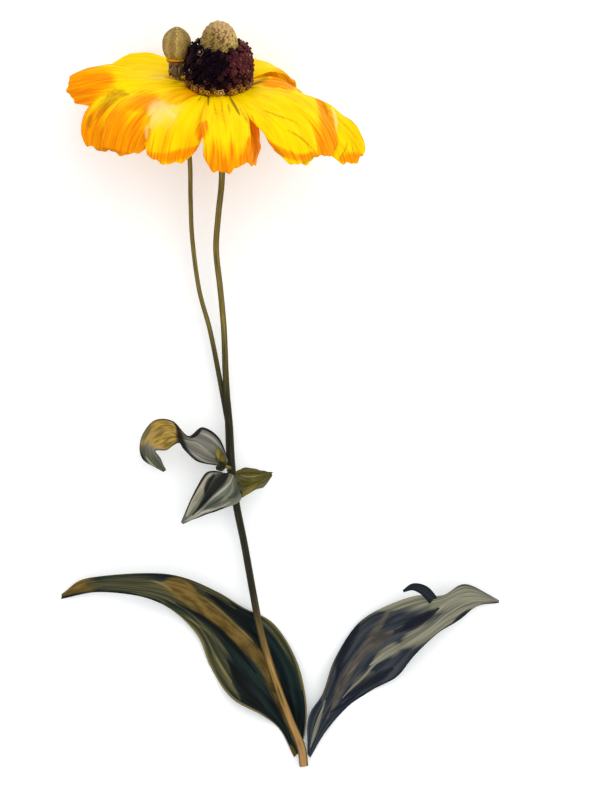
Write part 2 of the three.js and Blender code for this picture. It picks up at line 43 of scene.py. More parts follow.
scene.view_settings.view_transform = "Standard"

bpy.ops.mesh.primitive_plane_add(size=60)
floor = bpy.context.object
floor.name = "floor"
floor_paint = bpy.data.materials.new("floor_paint")
floor_paint.use_nodes = True
floor_shader = floor_paint.node_tree.nodes["Principled BSDF"]
floor_shader.inputs["Base Color"].default_value = (0.96, 0.975, 0.985, 1)
floor_shader.inputs["Roughness"].default_value = 0.9
floor_shader.inputs["Emission Color"].default_value = (0.85, 0.96, 1.0, 1)
floor_shader.inputs["Emission Strength"].default_value = 0.14
floor_shader.inputs["Specular IOR Level"].default_value = 0.1
floor.data.materials.append(floor_paint)

world = bpy.data.worlds.new("soft_sky")
world.use_nodes = True
world.node_tree.nodes["Background"].inputs["Color"].default_value = (1.0, 0.995, 0.985, 1)
world.node_tree.nodes["Background"].inputs["Strength"].default_value = 0.97
scene.world = world

key = bpy.data.objects.new("key_light", bpy.data.lights.new("key_light", "SUN"))
key.data.energy = 0.7
key.data.angle = math.radians(60)
key.data.color = (1.0, 0.985, 0.955)
key.rotation_euler = (math.radians(-22), math.radians(26), 0)
scene.collection.objects.link(key)

CAMERA_HEIGHT = 8.0
VIEW_HEIGHT = 0.32
SENSOR = 36
camera = bpy.data.objects.new("camera", bpy.data.cameras.new("camera"))
camera.location = (0.0078, -0.0014, CAMERA_HEIGHT)
camera.data.sensor_width = SENSOR
camera.data.lens = CAMERA_HEIGHT * SENSOR / VIEW_HEIGHT
scene.collection.objects.link(camera)
scene.camera = camera

# The stem is one juicy, finely ridged stalk that forks above the leaf node, each branch widening to carry a
# head. It is cut straight across at the base, where the pale pith shows inside a ring of strands.
MAIN_STEM = [
    (9.4, -147.8, 1.75, 1.75), (8.2, -140, 2.9, 1.7), (4.3, -130.2, 4.2, 1.6), (-0.5, -117.7, 5, 1.5),
    (-5, -104.1, 5.4, 1.45), (-8.5, -91.4, 5.4, 1.4), (-10.9, -78.9, 5.3, 1.4), (-14.4, -59.4, 5.1, 1.4),
    (-17.7, -43, 5.2, 1.45), (-19.7, -28.5, 5.5, 1.75), (-20.5, -13, 5.8, 1.6), (-21.2, -2, 6, 1.3)]
BLOOM_STALK = [
    (-20.5, -13, 5.8, 1.4), (-21.8, 6.6, 6.6, 1.25), (-22.6, 26.6, 7.8, 1.15), (-24, 42.6, 9.4, 1.15),
    (-25.7, 58.6, 11.8, 1.15), (-24.8, 72.6, 14.6, 1.15), (-23.4, 86.6, 18.4, 1.2), (-23.6, 102.6, 24.4, 1.4),
    (-24.2, 115, 30, 1.8)]
YOUNG_STALK = [
    (-20.5, -13, 5.8, 1.15), (-24.2, 6.6, 5.4, 1), (-28.2, 26.6, 5.4, 0.9), (-32.5, 42.6, 6.2, 0.85),
    (-35.2, 62.6, 8.2, 0.85), (-35.9, 78.6, 11, 0.85), (-36.2, 94.6, 15.2, 0.9), (-38.2, 108.6, 20.8, 0.95),
    (-40.2, 119.4, 26.6, 1), (-41.2, 128, 30.3, 1.2)]
SURFACE = 0.02  # the lowest that anything is let down, in millimetres


def curve(points, t):
    """Points of a Catmull-Rom curve through the given points, at each t from 0 to 1."""
    p = np.asarray(points, float)
    p = np.vstack([2 * p[0] - p[1], p, 2 * p[-1] - p[-2]])
    s = np.clip(np.asarray(t), 0, 1) * (len(p) - 3)
    k = np.minimum(s.astype(int), len(p) - 4)
    w = (s - k)[:, None]
    a, b, c, d = p[k], p[k + 1], p[k + 2], p[k + 3]
    v0, v1 = (c - a) / 2, (d - b) / 2
    return (2 * b - 2 * c + v0 + v1) * w**3 + (-3 * b + 3 * c - 2 * v0 - v1) * w**2 + v0 * w + b


def unit(a):
    return a / np.maximum(np.linalg.norm(a, axis=-1, keepdims=True), 1e-12)


def smooth(x, low, high):
    s = np.clip((np.asarray(x, float) - low) / (high - low), 0, 1)
    return s * s * (3 - 2 * s)


def grid_faces(rows, columns, wrap=False):
    """Quads of a grid of rows by columns of points, closed round where wrap is set."""
    i = np.arange(rows - 1)[:, None]
    j = np.arange(columns if wrap else columns - 1)[None, :]
    k = (j + 1) % columns
    quads = [i * columns + j, i * columns + k, (i + 1) * columns + k, (i + 1) * columns + j]
    return np.stack(quads, -1).reshape(-1, 4).tolist()


class Shape:
    """Points in millimetres, each with a place on the surface (UV, in millimetres) and a tint, and faces."""

    def __init__(self):
        self.points, self.places, self.tints, self.faces, self.count = [], [], [], [], 0

    def add(self, points, places, tints, faces):
        points = np.array(points, float).reshape(-1, 3)
        points[:, 2] = np.maximum(points[:, 2], SURFACE)
        self.points.append(points)
        self.places.append(np.broadcast_to(places, (len(points), 2)))
        self.tints.append(np.broadcast_to(tints, (len(points), 4)))
        self.faces += [[corner + self.count for corner in face] for face in faces]
        self.count += len(points)

    def piece(self, name, material, slot, *nodes):
        mesh = bpy.data.meshes.new(name)
        mesh.from_pydata((np.vstack(self.points) / 1000).tolist(), [], self.faces)
        corners = np.empty(len(mesh.loops), int)
        mesh.loops.foreach_get("vertex_index", corners)
        mesh.uv_layers.new(name="place").data.foreach_set("uv", np.vstack(self.places)[corners].ravel())
        tint = mesh.color_attributes.new("tint", "FLOAT_COLOR", "POINT")
        tint.data.foreach_set("color", np.vstack(self.tints).ravel())
        mesh.shade_smooth()
        mesh.materials.append(material)
        made = bpy.data.objects.new(name, mesh)
        scene.collection.objects.link(made)
        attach(made, "root")
        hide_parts(*nodes)


def tube(shape, points, rings, sides, ridges, depth, tint=(0, 0, 0, 1), open_start=False):
    """A ridged round stalk through points of x, y, z and radius. Its tint's red is the way along it."""
    t = np.linspace(0, 1, rings)
    centre = curve([p[:3] for p in points], t)
    radius = np.interp(t * (len(points) - 1), np.arange(len(points)), [p[3] for p in points])
    along = unit(np.gradient(centre, axis=0))
    side = unit(np.cross([0, 0, 1.0], along))
    up = np.cross(along, side)
    angle = np.linspace(0, 2 * np.pi, sides, endpoint=False)
    r = (radius[:, None] + depth * np.cos(ridges * angle)[None, :])[..., None]
    ring = centre[:, None] + r * (np.cos(angle)[None, :, None] * side[:, None]
                                  + np.sin(angle)[None, :, None] * up[:, None])
    length = np.concatenate([[0], np.cumsum(np.linalg.norm(np.diff(centre, axis=0), axis=1))])
    places = np.stack(np.broadcast_arrays(length[:, None], angle[None, :] * 1.5), -1).reshape(-1, 2)
    tints = np.tile(np.array(tint, float), (rings, sides, 1))
    tints[..., 0] = t[:, None]
    # Painted shade: alpha falls along the two flanks, the sides as seen from above, which darkens them.
    tints[..., 3] *= 1 - smooth(np.abs(np.cos(angle)), 0.55, 0.95)
    ends = [[(rings - 1) * sides + k for k in range(sides)]]
    if not open_start:
        ends.append([k for k in range(sides)][::-1])
    shape.add(ring, places, tints.reshape(-1, 4), grid_faces(rings, sides, wrap=True) + ends)
    return centre[0], along[0], side[0], up[0], radius[0]


def node(tree, kind, inputs=None, **settings):
    """A new shader node. Each input is a value, or a socket that is linked to it."""
    made = tree.nodes.new(kind)
    for name, value in settings.items():
        setattr(made, name, value)
    for name, value in (inputs or {}).items():
        if isinstance(value, bpy.types.NodeSocket):
            tree.links.new(value, made.inputs[name])
        else:
            made.inputs[name].default_value = value
    return made


def blend(tree, amount, low, high):
    """A colour that goes from low to high by amount. Each may be a socket or a value."""
    ends = {name: value if isinstance(value, bpy.types.NodeSocket) else (*value, 1)
            for name, value in ((6, low), (7, high))}
    return node(tree, "ShaderNodeMix", {0: amount, **ends}, data_type="RGBA").outputs[2]


def steps(tree, amount, low, high, top=1.0, bottom=0.0):
    """A number that goes smoothly from bottom to top as amount goes from low to high."""
    ends = {"From Min": low, "From Max": high, "To Min": bottom, "To Max": top}
    eased = node(tree, "ShaderNodeMapRange", {"Value": amount, **ends}, interpolation_type="SMOOTHSTEP")
    return eased.outputs[0]


def streaks(tree, along, across, detail=3.0):
    """Noise drawn out along the surface, in cycles for each millimetre along and across it."""
    place = node(tree, "ShaderNodeUVMap", uv_map="place")
    stretch = {0: place.outputs[0], 1: (along, across, 1)}
    scaled = node(tree, "ShaderNodeVectorMath", stretch, operation="MULTIPLY")
    grain = {"Vector": scaled.outputs[0], "Scale": 1.0, "Detail": detail}
    return node(tree, "ShaderNodeTexNoise", grain).outputs[0]


class Skin:
    """A new material, with its shader and the four parts of the mesh's tint as sockets."""

    def __init__(self, name, specular):
        self.material = bpy.data.materials.new(name)
        self.material.use_nodes = True
        self.tree = self.material.node_tree
        self.shader = self.tree.nodes["Principled BSDF"]
        self.shader.inputs["Specular IOR Level"].default_value = specular
        tint = node(self.tree, "ShaderNodeAttribute", attribute_name="tint")
        parts = node(self.tree, "ShaderNodeSeparateColor", {"Color": tint.outputs["Color"]})
        self.red, self.green, self.blue = parts.outputs
        self.alpha = tint.outputs["Alpha"]

    def finish(self, colour, height, distance, strength, smoothest, roughest):
        """Joins colour, relief and a roughness that follows the same relief."""
        rough = steps(self.tree, height, 0.3, 0.7, roughest, smoothest)
        relief = {"Height": height, "Strength": strength, "Distance": distance}
        bump = node(self.tree, "ShaderNodeBump", relief)
        for socket, name in ((colour, "Base Color"), (rough, "Roughness"), (bump.outputs[0], "Normal")):
            self.tree.links.new(socket, self.shader.inputs[name])
        return self.material


# Tint: red is the way along the stem, green marks the upper stalks, blue is the place on the cut end, and
# alpha is low along the two flanks, where it darkens them with painted shade.
NODE_DARK = (0.009, 0.011, 0.005)
NODE_STREAK = (0.055, 0.04, 0.014)
skin = Skin("stem_skin", 0.15)
tree = skin.tree
grain = streaks(tree, 0.08, 1.6)
first_third = steps(tree, skin.red, 0.02, 0.34)
low = blend(tree, first_third, (0.38, 0.21, 0.07), (0.27, 0.155, 0.04))
main = blend(tree, steps(tree, skin.red, 0.28, 0.56), low, NODE_DARK)
stalk = blend(tree, first_third, NODE_DARK, (0.16, 0.125, 0.022))
colour = blend(tree, skin.green, main, stalk)
streak = blend(tree, steps(tree, skin.red, 0.3, 0.58), (0.5, 0.33, 0.12), NODE_STREAK)
upper = blend(tree, first_third, NODE_STREAK, (0.36, 0.27, 0.07))
streak = blend(tree, skin.green, streak, upper)
colour = blend(tree, steps(tree, grain, 0.52, 0.68, 0.65), colour, streak)
colour = blend(tree, steps(tree, grain, 0.46, 0.34, 0.75), colour, (0.04, 0.026, 0.009))
# Painted shade: the stalks darken along their two flanks, where alpha is low.
colour = blend(tree, steps(tree, skin.alpha, 0.9, 0.1, 0.85), colour, (0.04, 0.028, 0.01))
pith = blend(tree, steps(tree, skin.blue, 0.75, 0.95), (0.62, 0.48, 0.26), (0.24, 0.14, 0.05))
colour = blend(tree, steps(tree, skin.blue, 0.0, 0.02), colour, pith)
stem_skin = skin.finish(colour, grain, 0.00012, 0.5, 0.45, 0.65)

STEM_SIDES = 48
STEM_RIDGES = 12
RIDGE_DEPTH = 0.045
STALK = dict(rings=130, sides=40, depth=0.035, tint=(0, 1, 0, 1))
stem = Shape()
foot, along, side, up, radius = tube(
    stem, MAIN_STEM, 190, STEM_SIDES, STEM_RIDGES, RIDGE_DEPTH, open_start=True)
tube(stem, BLOOM_STALK, ridges=10, **STALK)
tube(stem, YOUNG_STALK, ridges=8, **STALK)

CUT_RINGS = (1.0, 0.94, 0.86, 0.7, 0.45, 0.2)
CUT_HOLLOW = 0.25
angle = np.linspace(0, 2 * np.pi, STEM_SIDES, endpoint=False)
rings, shades = [], []
for inward in CUT_RINGS:
    r = (radius + RIDGE_DEPTH * np.cos(STEM_RIDGES * angle))[:, None] * inward
    ring = foot + r * (np.cos(angle)[:, None] * side + np.sin(angle)[:, None] * up)
    rings.append(ring + along * CUT_HOLLOW * (1 - inward) * (0.6 + 0.4 * np.cos(5 * angle))[:, None])
    shades.append(np.tile([0, 0, max(inward, 0.05), 1], (STEM_SIDES, 1)))
middle = [(len(CUT_RINGS) - 1) * STEM_SIDES + k for k in range(STEM_SIDES)]
cut = [face[::-1] for face in grid_faces(len(CUT_RINGS), STEM_SIDES, wrap=True)] + [middle[::-1]]
stem.add(np.array(rings), (0, 0), np.array(shades).reshape(-1, 4), cut)


class Head:
    """The frame of a flower head: x to the right, y towards the surface, z along its axis."""

    def __init__(self, centre, tilt):
        tilt = math.radians(tilt)
        self.centre = np.array(centre, float)
        self.axes = np.array([
            [1, 0, 0], [0, math.sin(tilt), -math.cos(tilt)], [0, math.cos(tilt), math.sin(tilt)]])
        self.up = np.array([0, -math.cos(tilt), math.sin(tilt)])

    def world(self, points):
        return self.centre + np.asarray(points, float) @ self.axes

    def above(self, points):
        return self.centre[2] + np.asarray(points, float) @ self.up


bloom = Head((-24.4, 124.2, 34.2), 24.5)
young = Head((-41.3, 135.2, 32.0), 14)


def turned(shape, head, profile, sides, tint=(0, 0, 0, 1), fine=1):
    """A solid turned about a head's axis, through pairs of radius and height from the bottom up."""
    if fine > 1:
        t = np.linspace(0, 1, (len(profile) - 1) * fine + 1)
        profile = [(max(r, 0.0), h) for r, h, _ in curve([(r, h, 0) for r, h in profile], t)]
    angle = np.linspace(0, 2 * np.pi, sides, endpoint=False)
    r = np.array([max(p[0], 0.01) for p in profile])[:, None]
    h = np.array([p[1] for p in profile])[:, None]
    points = np.stack([r * np.cos(angle), r * np.sin(angle), h + 0 * angle], -1)
    places = np.stack(np.broadcast_arrays(h, angle * 8), -1).reshape(-1, 2)
    last = (len(profile) - 1) * sides
    ends = [[k for k in range(sides)][::-1], [last + k for k in range(sides)]]
    shape.add(head.world(points), places, tint, grid_faces(len(profile), sides, wrap=True) + ends)


BLOOM_NECK = [(1.5, -11.5), (2.0, -9.5), (2.7, -6.5), (4.6, -4.0), (7.0, -2.9), (7.0, -1.9)]
YOUNG_NECK = [(1.0, -8.4), (1.2, -7.4), (1.4, -5.5), (2.1, -2.9), (2.2, -1.5)]
turned(stem, bloom, BLOOM_NECK, 48, (1, 1, 0, 1), fine=8)
turned(stem, young, YOUNG_NECK, 40, (1, 1, 0, 1), fine=6)
stem.piece("stem_and_stalks", stem_skin, "stem", "stem")

# The ray florets are thin soft straps of yellow tissue, grown in a ring round the cone. Each is grooved along
# its length, narrow at the root and notched at the tip, and droops, twists or curls in its own way.
PETAL = 0.5  # the thickness of a ray
RESTING = 0.28  # the height of a ray's middle where it lies on the surface
MARCHES = 160  # steps along a ray
RAY_FIELDS = (
    "azimuth", "length", "half", "rise", "droop", "delay", "bend", "twist", "cup", "lift", "base", "taper",
    "skew")
RAYS = [dict(zip(RAY_FIELDS, row)) for row in (
    (274, 55.5, 10, 14, -60, 1.4, 0, 0, -0.5, -0.3, 0.42, 0, 0.07),
    (288, 40, 8.4, -4, -50, 1.3, -3, -50, -0.35, -0.8, 0.26, 0, 0),
    (307, 54, 10.5, 12, -62, 1.5, 2, 10, -0.5, -0.3, 0.3, 0.1, 0),
    (324, 55, 12.5, 15, -84, 1.7, 0, 0, -0.5, -0.3, 0.26, 0.15, 0),
    (336, 60.5, 9.8, 5, -77, 1.7, 0, 26, -0.35, -0.8, 0.26, 0, 0),
    (10, 32, 10.5, 10, -72, 1.4, -10, 0, -0.5, -0.8, 0.26, 0.05, 0),
    (53, 46, 12.5, 26, -108, 1.15, -14, 0, -0.4, -0.8, 0.45, 0.3, 0),
    (76, 44, 9, -6, -80, 1.3, 2, 0, 0.1, -0.8, 0.26, 0.34, 0),
    (97, 44, 6.6, -6, -80, 1.3, -16, 0, 0.1, -0.3, 0.26, 0.34, 0),
    (137, 42, 12.5, 1, -76, 1.2, 6, 0, -0.2, -1, 0.26, 0.34, 0),
    (142, 49, 11.9, 5, -27, 1.2, 24, -10, 0.3, -0.8, 0.08, 0.34, 0),
    (181, 52.5, 10.6, 10, -22, 1.2, -10, -60, -0.5, -0.3, 0.03, 0.2, 0),
    (197, 53.5, 12.5, 14, -98, 1.5, 0, -58, -0.5, -0.8, 0.26, 0, 0),
    (213, 48, 12, 13, -88, 1.4, 0, -50, -0.45, -0.3, 0.26, 0.1, 0),
    (239, 45, 13, 14, -79, 1.4, 8, 0, -0.6, -0.8, 0.3, 0.1, 0))]


def rotate(vector, axis, angle):
    turned_part = np.cross(axis, vector) * math.sin(angle)
    return vector * math.cos(angle) + turned_part + axis * (axis @ vector) * (1 - math.cos(angle))


def ray_grid(head, ray, root, rows, columns, fine=True):
    """The middle surface of one ray floret in its head's frame, with u along it and v across it."""
    azimuth = math.radians(ray["azimuth"])
    point = np.array([root * math.cos(azimuth), root * math.sin(azimuth), ray["lift"]])
    stations, sides, normals = [], [], []
    for m in range(MARCHES + 1):
        f = m / MARCHES
        pitch = math.radians(ray["rise"] + (ray["droop"] - ray["rise"]) * f ** ray["delay"])
        heading = azimuth + math.radians(ray["bend"]) * f
        flat = math.cos(pitch)
        along = np.array([flat * math.cos(heading), flat * math.sin(heading), math.sin(pitch)])
        fall = along @ head.up
        if fall < 0:
            free = smooth(head.above(point) - RESTING, 0, 9)
            along = unit(along - head.up * fall * (1 - free))
        across = np.array([-math.sin(heading), math.cos(heading), 0])
        across = unit(across - along * (across @ along))
        across = rotate(across, along, math.radians(ray["twist"]) * float(smooth(f, 0.3, 1)))
        stations.append(point.copy())
        sides.append(across)
        normals.append(np.cross(along, across))
        point = point + along * ray["length"] / MARCHES
    stations, sides, normals = np.array(stations), np.array(sides), np.array(normals)
    u, v = np.meshgrid(np.linspace(0, 1, rows), np.linspace(-1, 1, columns), indexing="ij")
    swell = np.sin(np.pi / 2 * np.minimum(u / 0.6, 1))
    width = ray["half"] * (
        ray["base"] + (1 - ray["base"]) * swell**1.2 - ray["taper"] * smooth(u, 0.6, 1) ** 1.5)
    curl = ray["cup"] * (0.5 + 0.5 * u)
    teeth = 0.06 * v**2 + 0.12 * v**4 + 0.012 * (1 - np.cos(3 * np.pi * v)) + ray["skew"] * (1 + v) / 2
    turn = ray["azimuth"]
    if fine:
        width = width * (1 + 0.025 * np.sin(9 * u + turn) * u)
        teeth = teeth + 0.006 * np.sin(19 * v + turn)
    at = np.clip(MARCHES * (u - teeth * u**4), 0, MARCHES)
    k = np.minimum(at.astype(int), MARCHES - 1)
    w = (at - k)[..., None]
    station, across, normal = (a[k] * (1 - w) + a[k + 1] * w for a in (stations, sides, normals))
    waves = 0.9 * u * np.abs(v) * np.sin(u * 11 + turn + np.where(v < 0, 2, 0))
    rise = width * (1 - np.cos(curl * v)) / curl + waves
    if fine:
        grooves = 0.42 * np.sin(np.pi * u) ** 0.5 * np.exp(-(((np.abs(v) - 0.32) / 0.1) ** 2))
        veins = 0.08 * np.cos(v * 22) * np.sin(np.pi * np.minimum(u * 1.1, 1))
        ruffle = 0.36 * u * v**4 * np.sin(u * 27 + turn * 3 + v)
        rise = rise - grooves + veins + ruffle
    points = station + across * (width * np.sin(curl * v) / curl)[..., None] + normal * rise[..., None]
    return points + head.up * np.maximum(RESTING - head.above(points), 0)[..., None], u, v


def stroke(points, strokes):
    """How far points lie inside any of some soft strokes, as seen from above: 1 inside, 0 outside."""
    best = np.zeros(points.shape[:-1])
    for line in strokes:
        t = np.linspace(0, 1, 5 * len(line) - 4)
        line = curve(line, t)
        line[:, 2] *= 0.4 + 0.6 * smooth(np.minimum(t, 1 - t), 0, 0.3)
        for start, end in zip(line, line[1:]):
            run = np.subtract(end[:2], start[:2])
            away = points[..., :2] - start[:2]
            t = np.clip(away @ run / (run @ run), 0, 1)
            gap = np.linalg.norm(away - t[..., None] * run, axis=-1)
            best = np.maximum(best, 1 - smooth(gap / (start[2] + (end[2] - start[2]) * t), 0, 1.9))
    return best


def ragged(tree, amount, noise, top=1.0, low=0.7, high=1.4):
    """A tint that fades out through noise, and is nowhere stronger than top."""
    total = node(tree, "ShaderNodeMath", {0: amount, 1: noise}, operation="ADD").outputs[0]
    return steps(tree, total, low, high, top)


def blade(shape, points, thickness, places, tints_top, tints_under):
    """A closed blade round a grid of points, thin at its margins, with a tint for each of its faces."""
    rows, columns = points.shape[:2]
    normal = unit(np.cross(np.gradient(points, axis=0), np.gradient(points, axis=1)))
    edge = np.ones((rows, columns))
    edge[:, (1, -2)] = 0.8
    edge[:, (0, -1)] = 0.3
    edge[-1, :] = 0.3
    offset = normal * (edge * thickness / 2)[..., None]
    n = rows * columns
    faces = grid_faces(rows, columns)
    outline = list(range(columns)) + [i * columns + columns - 1 for i in range(1, rows)]
    outline += [(rows - 1) * columns + j for j in range(columns - 2, -1, -1)]
    outline += [i * columns for i in range(rows - 2, 0, -1)]
    rim = [[a, b, b + n, a + n] for a, b in zip(outline, outline[1:] + outline[:1])]
    shape.add(np.concatenate([(points + offset).reshape(-1, 3), (points - offset).reshape(-1, 3)]),
              np.tile(places.reshape(-1, 2), (2, 1)),
              np.concatenate([tints_top.reshape(-1, 4), tints_under.reshape(-1, 4)]),
              [face[::-1] for face in faces] + [[c + n for c in face] for face in faces] + rim)


# Tint: red turns it orange, for orange tips and for painted shade near the roots and in hollows; green pales
# it with a painted highlight; blue browns it, for brown marks and tips and for painted shade along creases;
# and alpha darkens it with painted shade between the rays.
skin = Skin("ray_skin", 0.04)
tree = skin.tree
fine = streaks(tree, 0.05, 0.95, 5)
broad = streaks(tree, 0.06, 0.28, 2)
blots = streaks(tree, 0.5, 0.7, 5)
colour = blend(tree, steps(tree, broad, 0.35, 0.7), (1.0, 0.7, 0.0), (0.98, 0.58, 0.0))
colour = blend(tree, steps(tree, fine, 0.52, 0.74, 0.55), colour, (0.9, 0.36, 0.0))
orange = blend(tree, steps(tree, fine, 0.4, 0.65), (0.97, 0.33, 0.0), (0.8, 0.19, 0.0))
# Orange: the orange of the tips, and painted shade near the roots and in hollows.
colour = blend(tree, ragged(tree, skin.red, fine, 0.95), colour, orange)
# Painted highlight: green pales the ray towards cream.
colour = blend(tree, ragged(tree, skin.green, fine, 0.7, 0.75, 1.6), colour, (0.93, 0.74, 0.27))
# Brown: brown marks and tips, and painted shade along creases and under the edges of rays.
colour = blend(tree, ragged(tree, skin.blue, blots, 0.7, 0.85, 1.7), colour, (0.4, 0.15, 0.004))
# Painted shade: alpha darkens the rays where they lie between and under one another.
colour = blend(tree, ragged(tree, skin.alpha, fine, 0.75), colour, (0.13, 0.035, 0.004))
skin.shader.inputs["Subsurface Weight"].default_value = 0.12
skin.shader.inputs["Subsurface Radius"].default_value = (0.003, 0.0015, 0.0004)
ray_skin = skin.finish(colour, fine, 0.00035, 0.7, 0.42, 0.6)

# Strokes of colour on the rays of the bloom, each a line of x, y and half width as seen from above.
# Orange tips, and painted shade on cupped, hollow and turned-away parts of the rays.
ORANGE_AND_SHADE = (
    [(-81, 125, 5.2), (-72.2, 125.4, 5.6), (-68.2, 126.6, 2.8)],
    [(-61, 114.6, 4), (-52.2, 117, 4), (-48.2, 115.4, 2)],
    [(-74.2, 102.2, 3.6), (-64.2, 100.6, 4.8), (-56.2, 102.6, 4), (-52.2, 105.8, 2)],
    [(-55.4, 98.6, 2), (-50.2, 94.6, 2.4), (-38.2, 96.2, 2.4), (-32.2, 99.4, 1.6)],
    [(-32.2, 102.6, 2.8), (-29.4, 108.6, 2)],
    [(-29.4, 89.4, 3.2), (-22.2, 91.4, 2.8), (-13.8, 94.6, 2.4), (-12.2, 102.6, 1.2)],
    [(-11.4, 111.4, 0.8), (-7.4, 102.6, 1.2), (-0.2, 97.4, 1.6), (7.8, 94.6, 1.6), (13.4, 96.6, 2)],
    [(15, 118.2, 2.8), (18.2, 110.6, 3.6), (19, 102.6, 3.6), (17.4, 96.2, 3.6), (13.8, 95.4, 2.4)],
    [(24.2, 94.2, 2.8), (32.6, 95.4, 2.4)], [(-4.2, 129, 2), (1.8, 125.8, 4), (4.6, 123.4, 2.8)],
    [(-7.4, 125, 2), (-0.2, 124.2, 2.4)])
# Brown marks and streaks, and painted shade along creases and under the edges of rays.
BROWN_AND_CREASE_SHADE = (
    [(-73, 110.6, 2), (-69.4, 116.2, 2.8), (-65, 120.2, 3.2), (-60.2, 119.8, 1.6)],
    [(-75.4, 112.6, 1.2), (-76.2, 106.6, 1.6)],
    [(-76.2, 97.4, 1.2), (-70.2, 98.2, 1.2), (-60.2, 96.2, 1.2)],
    [(-43.4, 124.6, 0.8), (-35.4, 126.2, 1)],
    [(-16.2, 113.8, 1), (-12.2, 107.4, 0.8), (-9.8, 98.6, 0.8), (-11, 93, 1.2)],
    [(-2.6, 99.4, 0.6), (1.8, 94.6, 1.2)], [(8.2, 91.8, 1.2), (14.2, 95.8, 1.2)],
    [(16.6, 117.4, 1.4), (19, 111.4, 0.8)], [(23, 93.8, 1), (25.8, 98.6, 0.5), (26.6, 102.6, 0.3)],
    [(27.8, 101.8, 0.4), (29.4, 96.2, 0.6), (32.6, 94.2, 0.8)],
    [(-11.4, 123.8, 0.8), (-7.4, 125.8, 1.6), (-4.2, 128.2, 1.2)],
    [(1.4, 106.2, 0.5), (7.8, 102.6, 0.7), (13.4, 97.4, 0.8)],
    [(-7.4, 113.8, 0.5), (-1.4, 111.4, 0.6), (7.8, 108.2, 0.5)], [(-26.6, 117, 0.5), (-25, 109.8, 0.4)],
    [(-23.4, 117, 0.5), (-22.6, 109.8, 0.4)], [(-21, 116.2, 0.5), (-19.8, 111.4, 0.4)])
# Painted shade in the dark gaps between the roots of the rays and under their edges.
RAY_GAP_SHADE = (
    [(-28.6, 119.4, 0.6), (-28.6, 115.4, 0.4)],
    [(-21, 120.2, 0.5), (-17.8, 114.6, 0.6), (-15.8, 111, 0.4)],
    [(-11.8, 123.8, 0.4), (-7.4, 125.4, 0.4)], [(-31, 119.8, 0.3), (-33, 117, 0.2)])
# Painted highlights on the upper faces of the rays.
PALE_HIGHLIGHT = (
    [(-52, 112, 2), (-48, 114.8, 3.4), (-42, 111, 2.4)], [(-53, 108, 0.9), (-53.2, 102, 0.8)],
    [(-76.2, 98.6, 1.6), (-73.8, 97.4, 1.2)], [(20.2, 115.4, 0.7), (21.8, 110.6, 0.8), (22.2, 104.6, 0.6)])
BLUSH = (  # for each ray: orange at the tip, orange all over, a painted highlight, brown
    (0.9, 0.0, 0.0, 0.1), (0.3, 0.8, 0.0, 0.1), (0.2, 0.0, 0.1, 0.2), (0.85, 0.0, 0.0, 0.1),
    (0.4, 0.0, 0.05, 0.3), (0.5, 0.25, 0.0, 0.0), (0.3, 0.05, 0.0, 0.0), (0.3, 0.2, 0.0, 0.0),
    (0.3, 0.2, 0.0, 0.0), (0.3, 0.1, 0.0, 0.0), (0.3, 0.0, 0.0, 0.0), (0.9, 0.2, 0.0, 0.1),
    (0.9, 0.2, 0.0, 0.35), (0.95, 0.5, 0.0, 0.4), (0.5, 0.0, 0.8, 0.0))
rays = Shape()
for n, (ray, (tip, over, pale, brown)) in enumerate(zip(RAYS, BLUSH)):
    points, u, v = ray_grid(bloom, ray, root=9.5, rows=62, columns=39)
    points = bloom.world(points)
    places = np.stack([u * ray["length"] + 60 * n, v * ray["half"]], -1)
    top = np.zeros(u.shape + (4,))
    tipward = smooth(u + 0.06 * np.sin(9 * v + n), 0.55, 0.98)
    root = smooth(u, 0.3, 0.05)
    # Orange near the root (0.2 * root) is painted shade; the rest is the orange of tips and of whole rays.
    top[..., 0] = np.clip(over + tip * tipward + 0.2 * root, 0, 1)
    # Painted highlight on the upper left of some rays, by the pale column of BLUSH.
    top[..., 1] = pale * smooth(u, 0.15, 0.45) * (1 - smooth(u, 0.55, 0.85)) * (1 - smooth(v, -0.6, 0.5))
    top[..., 2] = brown * smooth(u + 0.1 * np.sin(13 * v + n), 0.7, 1.05)
    # Painted shade: the margins near the root are darkened where the neighbouring rays shade them.
    top[..., 3] = 0.55 * root * smooth(np.abs(v), 0.7, 1.0)
    under = np.zeros(u.shape + (4,))
    under[..., 0] = np.clip(0.65 + 0.2 * np.sin(7 * v + n) * u, 0, 1)
    under[..., 2] = 0.35 + 0.2 * root
    for part, strokes in enumerate((ORANGE_AND_SHADE, PALE_HIGHLIGHT, BROWN_AND_CREASE_SHADE, RAY_GAP_SHADE)):
        top[..., part] = np.maximum(top[..., part], stroke(points, strokes))
    blade(rays, points, PETAL, places, top, under)
RAY_COLLAR = [(0, -1.5), (10.6, -1.5), (11.5, -0.6), (11.1, 0.5), (0, 0.5)]
turned(rays, bloom, RAY_COLLAR, 60, (0.6, 0, 0.5, 0))
rays.piece("ray_florets", ray_skin, "ray", "bloom_rays")

# The bracts are small green pointed leaves in a ring under the rays, on a shallow cup, and bent back along
# the stalk. They hold the head together while it is in bud.
skin = Skin("bract_skin", 0.3)
tree = skin.tree
grain = streaks(tree, 0.25, 2.2)
colour = blend(tree, steps(tree, grain, 0.35, 0.7), (0.035, 0.042, 0.012), (0.12, 0.12, 0.03))
colour = blend(tree, skin.red, colour, (0.3, 0.24, 0.08))
withered = blend(tree, steps(tree, grain, 0.4, 0.6), (0.24, 0.13, 0.05), (0.025, 0.014, 0.008))
colour = blend(tree, skin.green, colour, withered)
bract_skin = skin.finish(colour, grain, 0.0002, 0.6, 0.4, 0.6)


